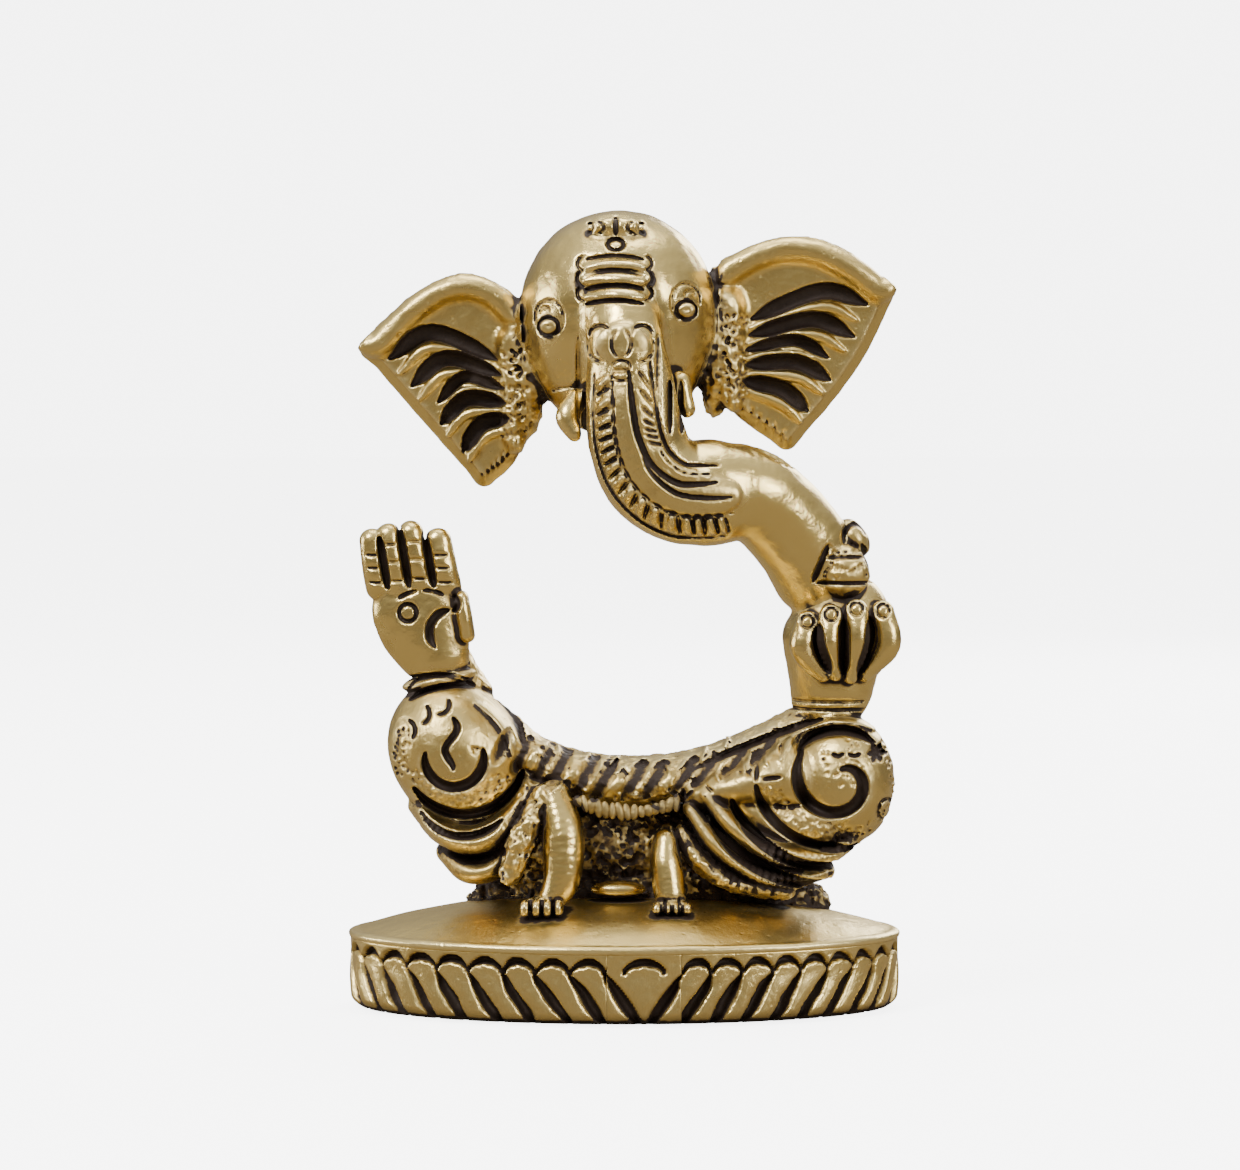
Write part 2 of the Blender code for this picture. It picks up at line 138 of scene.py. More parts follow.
def ball(centre, radii, tilt=0.0):
    """An ellipsoid turned by tilt degrees about Y, as (rule, low corner, high corner)."""
    centre, radii = np.array(centre, dtype=float), np.array(radii, dtype=float)
    c, s = math.cos(math.radians(tilt)), math.sin(math.radians(tilt))

    def rule(points):
        p = points - centre
        p = np.stack([c * p[:, 0] - s * p[:, 2], p[:, 1], s * p[:, 0] + c * p[:, 2]], axis=1)
        near = np.linalg.norm(p / radii, axis=1)
        steep = np.linalg.norm(p / radii**2, axis=1)
        return near * (near - 1) / np.maximum(steep, 1e-6), points[:, 1] - centre[1]

    reach = np.array((max(radii[0], radii[2]), radii[1], max(radii[0], radii[2])))
    return rule, centre - reach, centre + reach


def limb(stations, steps=6):
    """A tube along a smooth path. A station is (point, half width across the path, half depth)."""
    path = smooth_path([(*p, w, d) for p, w, d in stations], steps)

    def rule(points):
        best = np.full(len(points), 1e9)
        behind = np.zeros(len(points))
        for a, b in zip(path, path[1:]):
            along = b[:3] - a[:3]
            t = np.clip((points - a[:3]) @ along / (along @ along), 0, 1)
            centre = a[:3] + t[:, None] * along
            width = a[3] + t * (b[3] - a[3])
            squeeze = width / (a[4] + t * (b[4] - a[4]))
            v = points - centre
            flat = v[:, 0] ** 2 + v[:, 2] ** 2
            radius = np.sqrt(flat + (v[:, 1] * squeeze) ** 2)
            steep = np.sqrt(flat + (v[:, 1] * squeeze**2) ** 2) / np.maximum(radius, 1e-6)
            distance = (radius - width) / np.maximum(steep, 1e-3)
            closer = distance < best
            best = np.where(closer, distance, best)
            behind = np.where(closer, v[:, 1], behind)
        return best, behind

    reach = np.maximum(path[:, 3], path[:, 4])[:, None]
    return rule, (path[:, :3] - reach).min(0), (path[:, :3] + reach).max(0)


def path_distance(x, z, path):
    """The distance in the XZ plane to an open line of points."""
    nearest = np.full(x.shape, 1e9)
    for (x0, z0), (x1, z1) in zip(path, path[1:]):
        dx, dz = x1 - x0, z1 - z0
        t = np.clip(((x - x0) * dx + (z - z0) * dz) / max(dx * dx + dz * dz, 1e-9), 0, 1)
        nearest = np.minimum(nearest, np.hypot(x - x0 - t * dx, z - z0 - t * dz))
    return nearest


def outline_distance(x, z, outline):
    """The distance in the XZ plane to a closed outline, below zero inside."""
    closed = np.vstack([outline, outline[:1]])
    inside = np.zeros(x.shape, dtype=bool)
    for (x0, z0), (x1, z1) in zip(closed, closed[1:]):
        rise = z1 - z0 if abs(z1 - z0) > 1e-9 else 1e-9
        inside ^= ((z0 > z) != (z1 > z)) & (x < x0 + (z - z0) * (x1 - x0) / rise)
    return path_distance(x, z, closed) * np.where(inside, -1, 1)


def unit(rows):
    return rows / np.linalg.norm(rows, axis=1)[:, None]


def shrink(outline, by):
    """A closed outline moved inwards."""
    before = outline - np.roll(outline, 1, axis=0)
    along = unit(unit(before) + unit(np.roll(before, -1, axis=0)))
    following = np.roll(outline, -1, axis=0)
    turned = np.sign(np.sum(outline[:, 0] * following[:, 1] - following[:, 0] * outline[:, 1]))
    return outline + turned * by * np.stack([-along[:, 1], along[:, 0]], axis=1)


def slab(outline, front, back, edge, corner=1.1):
    """A plate in the XZ plane with its rim rounded by edge, and the outline's corners rounded by corner."""
    outline = np.array(outline)
    small = shrink(outline, corner)

    def rule(points):
        across = outline_distance(points[:, 0], points[:, 2], small) - corner + edge
        middle = (front + back) / 2
        through = np.abs(points[:, 1] - middle) - (back - front) / 2 + edge
        outside = np.hypot(np.maximum(across, 0), np.maximum(through, 0))
        return outside + np.minimum(np.maximum(across, through), 0) - edge, points[:, 1] - middle

    low = np.array((outline[:, 0].min(), front, outline[:, 1].min()))
    return rule, low, np.array((outline[:, 0].max(), back, outline[:, 1].max()))

# %% [markdown]
# Chasing: the lines on the front are cut or raised with small tools, straight at the surface. So they are
# kept as one map of depth over the front, and each form reads its own part of it. A line has a path, a
# width and a depth, and it runs out to a point at both ends, as a graver's cut does.

# %% Chasing tools
MAP_STEP = 0.06
map_low = np.array((cad_box[0][0], cad_box[0][2])) / MM - 1
map_high = np.array((cad_box[1][0], cad_box[1][2])) / MM + 1
map_shape = tuple(((map_high - map_low) / MAP_STEP).astype(int) + 1)
cut_map = np.zeros(map_shape, dtype=np.float32)
raised_map = np.zeros(map_shape, dtype=np.float32)


def chase(points, width, depth, taper=0.6):
    """Cuts a line of (x, z) points into the front, or raises one where depth is below zero."""
    path = np.array(points, dtype=float)
    if len(path) > 2:
        path = smooth_path(path, 5)
    target = cut_map if depth > 0 else raised_map
    low = np.floor((path.min(0) - width - map_low) / MAP_STEP).astype(int).clip(0)
    high = np.ceil((path.max(0) + width - map_low) / MAP_STEP).astype(int)
    xs = map_low[0] + MAP_STEP * np.arange(low[0], min(high[0], map_shape[0]))
    zs = map_low[1] + MAP_STEP * np.arange(low[1], min(high[1], map_shape[1]))
    x, z = np.meshgrid(xs, zs, indexing="ij")
    lengths = np.append(0, np.cumsum(np.linalg.norm(np.diff(path, axis=0), axis=1)))
    best = np.zeros_like(x)
    for a, b, start, end in zip(path, path[1:], lengths, lengths[1:]):
        step = b - a
        t = np.clip(((x - a[0]) * step[0] + (z - a[1]) * step[1]) / max(step @ step, 1e-9), 0, 1)
        share = (start + t * (end - start)) / lengths[-1]
        ends = np.clip(np.minimum(share, 1 - share) / 0.25, 0, 1)
        half = width / 2 * (1 - taper * (1 - ends) ** 2)
        off = np.hypot(x - a[0] - t * step[0], z - a[1] - t * step[1]) / half
        best = np.maximum(best, np.clip(1 - off**2, 0, 1) ** 0.75 * (1 - 0.5 * taper * (1 - ends)))
    region = target[low[0]:low[0] + len(xs), low[1]:low[1] + len(zs)]
    np.maximum(region, (best * abs(depth)).astype(np.float32), out=region)


def scroll(centre, inner, outer, start, end, count=16, squash=1.0):
    """Points on a spiral in the XZ plane, from start to end degrees, with radii from inner to outer."""
    turns = np.radians(np.linspace(start, end, count))
    radii = np.linspace(inner, outer, count)
    return np.stack([centre[0] + radii * np.cos(turns), centre[1] + radii * squash * np.sin(turns)], 1)


def arc(centre, radius, start, end, squash=1.0, count=9):
    return scroll(centre, radius, radius, start, end, count, squash)


def on_circle(centre, radius, turn):
    return arc(centre, radius, turn, turn, 1.0, 1)[0]


def ring(centre, radius, width, depth, squash=1.0):
    chase(arc(centre, radius, 0, 360, squash, 17), width, depth, taper=0)


def stroke(middle, reach, width, depth):
    """A straight line that goes reach, an (x, z) pair, to each side of its middle."""
    chase([middle - reach, middle + reach], width, depth)


def dot(place, width, depth):
    chase([place, place + 0.05], width, depth, taper=0)


def xz(node, x=0.0, z=0.0):
    """A place on the front, as shares of a node's half size."""
    return spot(node, x, 0, z)[[0, 2]]


def read_map(target, points):
    """The depth of a map under each point, read between its entries."""
    place = ((points[:, [0, 2]] - map_low) / MAP_STEP).clip(0, np.array(map_shape) - 2.001)
    low = place.astype(int)
    part = place - low
    i, j, u, w = low[:, 0], low[:, 1], part[:, 0], part[:, 1]
    return ((target[i, j] * (1 - u) + target[i + 1, j] * u) * (1 - w)
            + (target[i, j + 1] * (1 - u) + target[i + 1, j + 1] * u) * w)

# %% [markdown]
# The head: a broad skull, a trunk in three lengths that curls across to the offered sweet, and two ears.
# Each form takes its place from its own box in the frame, as shares of the half size, so the wax always
# fits the model. The blend is how far the modeller's thumb has smoothed a form into the ones before it.

# %% The head and the trunk
forms = {}


def form(node, shape, blend=0.3, rough=0.0):
    forms[node] = (shape, blend, rough)


def limb_in(node, rows):
    """A limb through shares of a node's box. A row is (x, y, z, half width, half depth)."""
    return limb([(spot(node, x, y, z), width, depth) for x, y, z, width, depth in rows])


def limb_form(node, rows, blend=0.3, rough=0.0):
    form(node, limb_in(node, rows), blend, rough)


def ball_in(node, grow=1.0, tilt=0.0):
    middle, half = box_mm(node)
    return ball(middle, half * grow, tilt)


def cluster(*shapes):
    """Several shapes pressed together as one form."""
    def rule(points):
        parts = [shape[0](points) for shape in shapes]
        distances = np.stack([part[0] for part in parts])
        nearest = distances.argmin(0)
        behind = np.stack([part[1] for part in parts])
        rows = np.arange(len(points))
        return distances[nearest, rows], behind[nearest, rows]

    return rule, np.min([s[1] for s in shapes], axis=0), np.max([s[2] for s in shapes], axis=0)


limb_form("skull", [
    (0.02, 0.06, -0.5, 5.6, 5.4), (0.01, 0.04, -0.26, 7.8, 7.6), (0.0, 0.0, -0.03, 8.9, 8.6),
    (0.0, 0.0, 0.15, 9.1, 8.8)])
limb_form("trunk_root", [
    (-0.3, 0.42, 0.8, 2.9, 2.4), (-0.15, 0.05, 0.35, 3.4, 3.0), (-0.07, -0.02, -0.13, 4.0, 3.6),
    (0.0, 0.0, -0.55, 4.4, 4.0)], 1.4)
limb_form("trunk_bend", [
    (-0.39, -0.16, 0.64, 4.5, 4.1), (-0.24, -0.08, 0.22, 4.7, 4.2), (0.08, 0.04, -0.1, 4.8, 4.2),
    (0.44, 0.18, -0.16, 4.8, 4.2)], 0.9)
limb_form("trunk_arch", [
    (-0.81, -0.34, 0.38, 4.7, 4.2), (-0.41, -0.18, 0.36, 4.5, 4.2), (-0.09, -0.02, 0.19, 4.3, 4.1),
    (0.31, 0.21, -0.23, 4.3, 4.0), (0.49, 0.41, -0.6, 4.1, 3.8)], 0.9)
limb_form("trunk_ornament", [
    (-0.66, 0.35, 0.93, 1.9, 0.7), (-0.63, -0.1, 0.44, 2.2, 0.8), (-0.53, -0.05, -0.1, 2.3, 0.8),
    (-0.15, 0.3, -0.53, 2.3, 0.8), (0.4, 0.6, -0.7, 2.0, 0.8), (0.85, 0.95, -0.7, 1.2, 0.7)], 0.5)
form("trunk_tip", ball_in("trunk_tip", 1.0, -30), blend=0.4)
limb_form("left_tusk", [
    (0.7, 0.4, 0.7, 1.1, 1.2), (0.0, -0.15, 0.1, 1.15, 1.1), (0.5, -0.5, -0.45, 0.8, 0.7)])
limb_form("right_tusk", [(-0.2, 0.1, 0.5, 1.0, 1.2), (0.2, -0.2, -0.5, 0.9, 1.0)], 0.4)
for node in ("left_eye", "right_eye"):
    form(node, ball(spot(node, 0, 0.5, 0), half_of(node) * (1.0, 0.8, 0.95)), blend=0.5)
for node, sunk in (("forehead_mark", 0.9), ("crown_mark", 0.6), ("brow_flower", 0.6)):
    form(node, ball(spot(node, 0, sunk, 0), half_of(node) * (1.0, 0.7, 1.0)), blend=0.6)
for node in ("left_ear_root", "right_ear_root"):
    form(node, ball_in(node, 1.05), blend=1.0, rough=0.18)

# %% [markdown]
# An ear is a fan cut from a thick sheet. Its outline is three sweeps between a few corners: over the crown,
# down the outer edge, and back under to the head. The same corners then place its grooves.

# %% The ears
ears = {
    "left_ear": dict(root_top=(0.92, 0.73), crown=(0.15, 1.43), tip=(-1.0, 0.29), edge=(-0.29, -0.36),
                     lobe=(0.47, -1.0), under=(0.86, -0.9), root_low=(1.02, -0.5)),
    "right_ear": dict(root_top=(-1.0, 0.77), crown=(0.0, 1.37), tip=(1.0, 0.52), edge=(0.71, -0.29),
                      lobe=(-0.21, -1.0), under=(-0.7, -0.8), root_low=(-1.0, -0.5)),
}


def sweep(start, pull, end, steps):
    """Points on a curve from start to end that bends towards pull, without its last point."""
    t = (np.arange(steps) / steps)[:, None]
    start, pull, end = (np.array(p, dtype=float) for p in (start, pull, end))
    return (1 - t) ** 2 * start + 2 * t * (1 - t) * pull + t * t * end


def ear_outline(node):
    corner = {name: xz(node, *share) for name, share in ears[node].items()}
    return np.vstack([sweep(corner["root_top"], corner["crown"], corner["tip"], 12),
                      sweep(corner["tip"], corner["edge"], corner["lobe"], 8),
                      sweep(corner["lobe"], corner["under"], corner["root_low"], 5), [corner["root_low"]]])


for node in ears:
    middle, half = box_mm(node)
    form(node, slab(ear_outline(node), middle[1] - half[1], middle[1] + half[1], 0.9), blend=0.5)
print("head forms:", len(forms))

# %% [markdown]
# The hands. On the left a flat palm is raised, with its fingers side by side. On the right a round fist
# holds a ribbed sweet against the trunk. A finger runs the height of its box and leans with its neighbours.

# %% The hands
limb_form("raised_palm", [
    (0.25, 0.0, -0.55, 3.1, 2.2), (0.04, 0.0, 0.0, 4.0, 2.2), (-0.1, 0.0, 0.5, 4.5, 2.0)])
limb_form("left_forearm", [
    (-0.4, 0.0, 0.5, 1.5, 2.0), (-0.1, 0.0, -0.1, 1.7, 2.3), (0.4, 0.0, -0.6, 1.8, 2.3)], 0.6, 0.1)
limb_form("right_forearm", [
    (0.1, 0.0, -0.5, 3.4, 3.5), (0.05, 0.0, -0.1, 3.6, 3.7), (-0.1, 0.05, 0.4, 3.6, 3.5)], 0.8)
form("holding_palm", cluster(ball_in("holding_palm", 0.98), limb([
    (spot("holding_palm", -0.1, 0.1, -0.9), 3.5, 3.4), (spot("holding_palm", 0, 0.1, 0.3), 4.5, 3.8)])), 0.8)


raised_fingers = ["raised_little_finger", "raised_ring_finger", "raised_middle_finger",
                  "raised_index_finger", "raised_thumb"]
holding_fingers = ["holding_little_finger", "holding_ring_finger", "holding_middle_finger",
                   "holding_index_finger"]
palm_foot = spot("holding_palm", 0.0, -0.55, -0.75)


def finger_foot(node):
    """Where a finger of the fist ends: each one bends in towards the wrist."""
    foot = spot(node, 0, 0, -0.85)
    return np.array((foot[0] * 0.55 + palm_foot[0] * 0.45, foot[1] * 0.6 + palm_foot[1] * 0.4, foot[2]))


for node in raised_fingers:
    middle, half = box_mm(node)
    outermost = node in (raised_fingers[0], raised_fingers[3])
    reach = 1.0 if outermost else 0.4  # the outer two reach up, so the tips make one round edge
    across = {"raised_thumb": 0.75, "raised_index_finger": 1.38}.get(node, 1.25)
    form(node, limb([(middle + half * (0.3, 0.2, -0.75), across, 1.2), (middle, across, 1.25),
                     (middle + half * (-0.3, 0.1, 0.62) + (0, 0, reach), across * 0.92, 1.1)]), 0.25)
for node in holding_fingers:
    middle, half = box_mm(node)
    outward = 0.12 * (middle[0] - palm_foot[0])
    form(node, limb([(finger_foot(node), 0.75, 1.0), (middle + (outward, -0.2, -0.4), 1.22, 1.3),
                     (spot(node, 0, 0.1, 0.68), 1.1, 1.1)]), 0.25)
limb_form("sweet", [
    (0.0, 0.0, -0.35, 2.4, 2.2), (0.0, 0.0, 0.0, 2.0, 1.9), (-0.03, 0.05, 0.65, 0.7, 0.7)], 0.2)
form("left_bangle", ball(box_mm("left_bangle")[0], (3.6, 2.9, 0.95), -12), 0.2)

# %% [markdown]
# The legs are folded in front. Each knee is a round mass under patterned cloth, the cloth falls below it in
# thick rolls, and a bare shin and toes come out at the bottom. The crescent joins the two knees.

# %% The legs and the crescent
limb_form("waist_crescent", [
    (-0.87, 0.15, 0.58, 2.2, 4.4), (-0.56, 0.05, -0.2, 2.3, 5.0), (-0.1, 0.0, -0.54, 2.4, 5.2),
    (0.4, 0.05, -0.3, 2.3, 5.0), (0.87, 0.15, 0.38, 2.2, 4.2)], 0.5, 0.1)
mound_half = half_of("seat_mound")
form("seat_mound", cluster(
    ball(spot("seat_mound", 0, 0, -1.0), mound_half * (1.0, 1.0, 1.15)),
    ball(spot("seat_mound", -0.05, 0, 0.1), mound_half * (0.86, 0.85, 1.0))), 0.8, 0.35)
form("left_knee", ball(box_mm("left_knee")[0], (6.0, 6.0, 7.2), -30), 0.5)
form("right_knee", ball_in("right_knee", 1.0), 0.5)
limb_form("left_fold_upper", [
    (-0.76, 0.3, 0.2, 1.1, 4.2), (-0.4, 0.0, -0.4, 1.4, 4.8), (0.06, -0.1, -0.6, 1.5, 4.8),
    (0.48, -0.1, -0.16, 1.4, 4.4), (0.84, 0.1, 0.7, 1.2, 3.6)], 0.35)
limb_form("left_fold_lower", [
    (-0.66, 0.25, 0.1, 1.1, 3.8), (-0.2, 0.0, -0.45, 1.4, 4.4), (0.3, -0.05, -0.3, 1.4, 4.4),
    (0.73, -0.15, 0.55, 1.2, 3.8)], 0.35)
limb_form("left_hem", [
    (0.8, 0.4, 0.8, 0.9, 1.3), (0.0, -0.1, 0.0, 1.2, 1.5), (-0.5, 0.0, -0.76, 1.1, 1.4)], 0.3, 0.22)
limb_form("left_shin", [
    (-0.3, 0.3, 0.7, 1.7, 2.3), (0.1, -0.15, 0.1, 2.0, 2.4), (0.05, -0.4, -0.5, 1.7, 2.0),
    (-0.3, -0.45, -0.8, 1.3, 1.6)])
limb_form("right_shin", [
    (-0.1, 0.3, 0.6, 1.2, 1.8), (-0.1, 0.0, 0.1, 1.5, 1.9), (0.1, -0.3, -0.65, 1.5, 1.7)])
thigh = limb_in("right_lap", [
    (-0.9, 0.0, -0.45, 1.6, 3.0), (-0.1, -0.1, -0.15, 2.2, 4.0), (0.6, 0.05, 0.0, 3.6, 4.5)])
under_thigh = limb_in("right_lap", [
    (-0.35, 0.15, -0.55, 1.6, 3.0), (0.3, 0.1, -1.05, 2.6, 3.9), (1.1, 0.1, -1.2, 2.8, 4.3)])
form("right_lap", cluster(thigh, under_thigh), 0.6)
limb_form("right_fold_upper", [
    (-0.92, -0.15, 0.9, 0.8, 2.6), (-0.57, -0.2, 0.06, 1.1, 3.7), (-0.06, -0.15, -0.58, 1.25, 4.5),
    (0.44, 0.05, -0.64, 1.25, 4.7), (0.8, 0.3, -0.28, 1.0, 4.1)])
limb_form("right_fold_middle", [
    (-0.92, -0.2, 0.8, 0.7, 2.3), (-0.6, -0.25, 0.05, 1.05, 3.3), (-0.13, -0.17, -0.53, 1.15, 4.1),
    (0.38, 0.05, -0.75, 1.15, 4.3), (0.78, 0.3, -0.63, 1.0, 3.7)])
limb_form("right_fold_lower", [
    (-0.9, -0.15, 0.8, 0.7, 2.0), (-0.63, -0.2, 0.1, 1.05, 2.7), (-0.1, 0.05, -0.45, 1.05, 3.3),
    (0.7, 0.3, -0.7, 1.0, 3.4)], 0.3, 0.12)
form("offering_step", ball_in("offering_step", 1.0), 0.4)


def foot(node, toes=4):
    """A flat foot with a row of small round toes along its front."""
    middle, half = box_mm(node)
    size = half[0] / toes
    shapes = [ball(middle + (0, 0.3, 0.1), half * (0.95, 0.8, 0.9))]
    for k in range(toes):
        across = -half[0] + size * (1 + 2 * k)
        place = middle + (across, -half[1] * 0.45, -0.1)
        shapes.append(ball(place, (size * 0.92, half[1] * 0.7, half[2] * 0.95)))
    return cluster(*shapes)


for node in ("left_toes", "right_toes"):
    form(node, foot(node), 0.15)
print("all forms:", len(forms))

# %% [markdown]
# Now the lines on the head. The lines down the trunk keep their place across its width, so they are found
# from the trunk's own middle line and turn the corner with it. Raised leaves run along its outer side, and
# short slanting cuts along its inner side.

# %% Chasing the trunk
trunk_rows = [(*spot("trunk_root", -0.1, 0, 0.15), 3.7), (*spot("trunk_root", 0.0, 0, -0.5), 4.3),
              (*spot("trunk_bend", -0.39, 0, 0.64), 4.5), (*spot("trunk_bend", -0.24, 0, 0.22), 4.7),
              (*spot("trunk_bend", 0.08, 0, -0.1), 4.8), (*spot("trunk_bend", 0.44, 0, -0.16), 4.8),
              (*spot("trunk_bend", 0.8, 0, -0.13), 4.6)]
trunk_middle = smooth_path([(x, z, width) for x, _, z, width in trunk_rows], 8)


def down_trunk(side, start=0.0, end=1.0, count=12):
    """Points down the trunk. side is -1 on its outer edge and 1 on its inner, or a (first, last) pair."""
    shares = np.linspace(start, end, count)
    sides = np.linspace(*side, count) if isinstance(side, tuple) else np.full(count, side)
    rows = np.arange(len(trunk_middle))
    place = np.stack([np.interp(shares * rows[-1], rows, trunk_middle[:, k]) for k in range(3)], axis=1)
    along = unit(np.gradient(place[:, :2], axis=0))
    return place[:, :2] + np.stack([-along[:, 1], along[:, 0]], 1) * (sides * place[:, 2])[:, None]


chase(down_trunk(-0.84, 0.04, 0.96), 0.32, 0.28)
chase(down_trunk(-0.42), 0.34, 0.3)
chase(down_trunk((-0.02, 0.22), 0.04, 0.92), 0.62, 0.8)
chase(down_trunk((0.02, -0.1), 0.42, 1.0), 0.5, 0.6)
chase(down_trunk((0.5, 0.55), 0.0, 0.95), 0.42, 0.45)
for share in np.linspace(0.06, 0.93, 16):
    chase(down_trunk((-0.5, -0.76), share - 0.01, share + 0.012, 3), 0.85, -0.42, taper=0.5)
    chase(down_trunk((-0.46, -0.8), share + 0.016, share + 0.038, 3), 0.36, 0.32, taper=0.6)
for share in np.linspace(0.04, 0.34, 7):
    upper, lower = down_trunk(0.2, share, share + 0.02, 2), down_trunk(0.46, share + 0.05, share + 0.07, 2)
    chase([upper[0], lower[0]], 0.38, 0.35)
for share in np.linspace(0.45, 0.85, 6):
    leaf = down_trunk(0.38, share - 0.03, share + 0.03, 3)
    chase(leaf, 0.95, -0.22, taper=0.8)
    chase(leaf, 0.26, 0.3)

# %% [markdown]
# The marks on the brow: three bars with lobed ends, a small ring, plain strokes on the crown, and a bud
# between curled petals. Every line is an arc, a ring or a share of its own piece's box, and left and right
# come from one loop, so they match as a maker's would.

# %% Chasing the brow and the eyes
brow, brow_half = xz("forehead_mark"), half_of("forehead_mark")
bar_pitch, bar_reach = brow_half[2] * 0.92, brow_half[0] * 0.78


def across_brow(level, reach):
    """A slightly arched line across the brow, level bars above its middle."""
    return arc(brow + (0, level * bar_pitch - 4 * reach), 4 * reach, 104, 76, 1.0, 5)


for level in (-1, 0, 1):
    chase(across_brow(level, bar_reach), 1.0, -0.3, taper=0.3)
for level in (-1.5, -0.5, 0.5, 1.5):
    chase(across_brow(level, bar_reach), 0.42, 0.45, taper=0.4)
for side in (-1, 1):
    for level in (-1, 0, 1):
        bar_end = brow + (side * bar_reach, level * bar_pitch)
        chase(arc(bar_end, bar_pitch / 2, 90, 90 - side * 180), 0.34, 0.38)
crown = xz("crown_mark")
ring(crown - (0, 1.6), 0.75, 0.42, 0.45, squash=0.7)
stroke(crown + (0, 0.15), (0, 0.85), 0.6, 0.5)
for side in (-1, 1):
    for reach in (1.1, 2.1):
        chase(arc(crown + (side * (reach + 0.5), 0), 0.5, 90, 90 + side * 180), 0.42, 0.42)
for node, outward in (("left_eye", -1), ("right_eye", 1)):
    eye = xz(node)
    ring(eye, 0.92, 0.36, 0.42, squash=0.85)
    chase(arc(eye + (0, 0.7), 1.35, 90 - outward * 100, 90 + outward * 150, 1.3), 0.3, 0.26)
    stroke(eye, (0.3, 0), 0.3, 0.2)
    chase(arc(eye + (outward * 0.4, 1.3), 0.5, 90 - outward * 90, 90 + outward * 90), 0.3, 0.3)
flower = xz("brow_flower")
bud_size = half_of("brow_flower")[0] / 2
for side in (-1, 1):
    for x, z, size, start, end, width, depth in (
            (-0.6, 0.0, 1.35, 90 - side * 140, 90 - side * 40, 0.36, 0.38),
            (1.6, 0.6, 0.8, 90 - side * 90, 90 + side * 90, 0.38, 0.38),
            (1.3, -0.2, 1.2, -90, -90 + side * 120, 0.34, 0.32)):
        chase(arc(flower + (side * x * bud_size, z * bud_size), size * bud_size, start, end), width, depth)
    chase([xz("skull", side * 0.4, level) for level in np.linspace(-0.1, -0.85, 5)], 0.55, 0.3, taper=0.8)
for level in (1.7, 2.4):
    ring(flower - (0, level * bud_size), 0.7 * bud_size, 0.32, 0.3, squash=0.6)
for reach in (0.52, 0.64):
    chase([xz("skull", reach, level) for level in np.linspace(-0.5, -0.95, 4)], 0.55, 0.5)
chase(arc(xz("left_tusk"), half_of("left_tusk")[2] * 1.1, 120, 60), 0.35, 0.25)
chase([xz("left_tusk", 1.2, level) for level in (0.9, -0.1, -1.1)], 0.75, 0.6)

# %% [markdown]
# An ear's rim is rolled over along the crown and next to the head, and the bowl inside it is hollowed. The
# outer edge is cut straight through. Five deep grooves spread from near the head to the outer edge, and the
# wax they push up stands as a ridge between them.

# %% Chasing the ears
hollow_map = np.zeros(map_shape, dtype=np.float32)


def ease(value):
    """A smooth step from 0 to 1."""
    value = np.clip(value, 0, 1)
    return value * value * (3 - 2 * value)


for node, bulge in (("left_ear", 2.8), ("right_ear", 2.0)):
    outline = ear_outline(node)
    corner = {name: xz(node, *share) for name, share in ears[node].items()}
    xs = map_low[0] + MAP_STEP * np.arange(map_shape[0])
    zs = map_low[1] + MAP_STEP * np.arange(map_shape[1])
    across = slice(*np.searchsorted(xs, (outline[:, 0].min() - 1.5, outline[:, 0].max() + 1.5)))
    upright = slice(*np.searchsorted(zs, (outline[:, 1].min() - 1.5, outline[:, 1].max() + 1.5)))
    x, z = np.meshgrid(xs[across], zs[upright], indexing="ij")
    beyond = outline_distance(x, z, outline)
    crown_line = sweep(corner["root_top"], corner["crown"], corner["tip"], 14)
    root_middle = (corner["root_low"] + corner["root_top"]) / 2
    head_line = sweep(corner["root_low"], root_middle, corner["root_top"], 3)
    cut_line = sweep(corner["tip"], corner["edge"], corner["lobe"], 14)
    from_crown = path_distance(x, z, crown_line)
    from_head = path_distance(x, z, head_line)
    rim = np.minimum(from_crown, from_head)
    inside = beyond < 0.2
    open_edge = (beyond < 1.5) & (path_distance(x, z, cut_line) < rim)
    bowl = ease((from_crown - 1.7) / 1.2) * ease((from_head - 1.4) / 1.6)
    roll = 0.45 * np.clip(1 - ((rim - 1.2) / 1.2) ** 2, 0, 1)
    for target, rise in ((hollow_map, (inside | open_edge) * bowl * 0.95), (raised_map, inside * roll)):
        np.maximum(target[across, upright], rise.astype(np.float32), out=target[across, upright])
    heart_top = corner["root_top"] * 0.74 + corner["lobe"] * 0.26
    heart_low = corner["root_low"] * 0.62 + corner["root_top"] * 0.16 + corner["lobe"] * 0.22
    for k, share in enumerate(np.linspace(0.13, 0.87, 5)):
        inner = heart_top * (1 - share) + heart_low * share
        outer = cut_line[int(share * (len(cut_line) - 1))]
        outer = outer + (inner - outer) * (0.15 + 0.12 * (k == 2))
        inner = inner + (outer - inner) * 0.1
        lift = np.array((0.0, bulge * (1 - 0.6 * share)))
        chase([outer, outer * 0.6 + inner * 0.4 + lift, inner], 1.65 if k != 2 else 1.25, 1.5, taper=0.9)
        chase([outer * 0.9 + inner * 0.1 - (0, 1.3), outer * 0.6 + inner * 0.4 + lift - (0, 1.5),
               inner - (0, 0.8)], 1.1, -0.55)
    for k in range(70):
        near_head = heart_top * 0.4 + heart_low * 0.6 + rng.uniform(-1, 1, 2) * (1.1, 4.2)
        chase([near_head, near_head + rng.uniform(-0.4, 0.4, 2)], 0.45, 0.32, taper=0.2)
    for k in range(9):
        low = corner["lobe"] * (1 - k / 9) + corner["root_low"] * k / 9
        chase([low, low + (0.15, 1.3)], 0.3, 0.22)

# %% [markdown]
# The hands and the sweet: dark cuts part the fingers, small steps mark their joints, and rings mark the
# nails. The raised palm carries a small ring and a plain hooked stroke, which is two arcs.

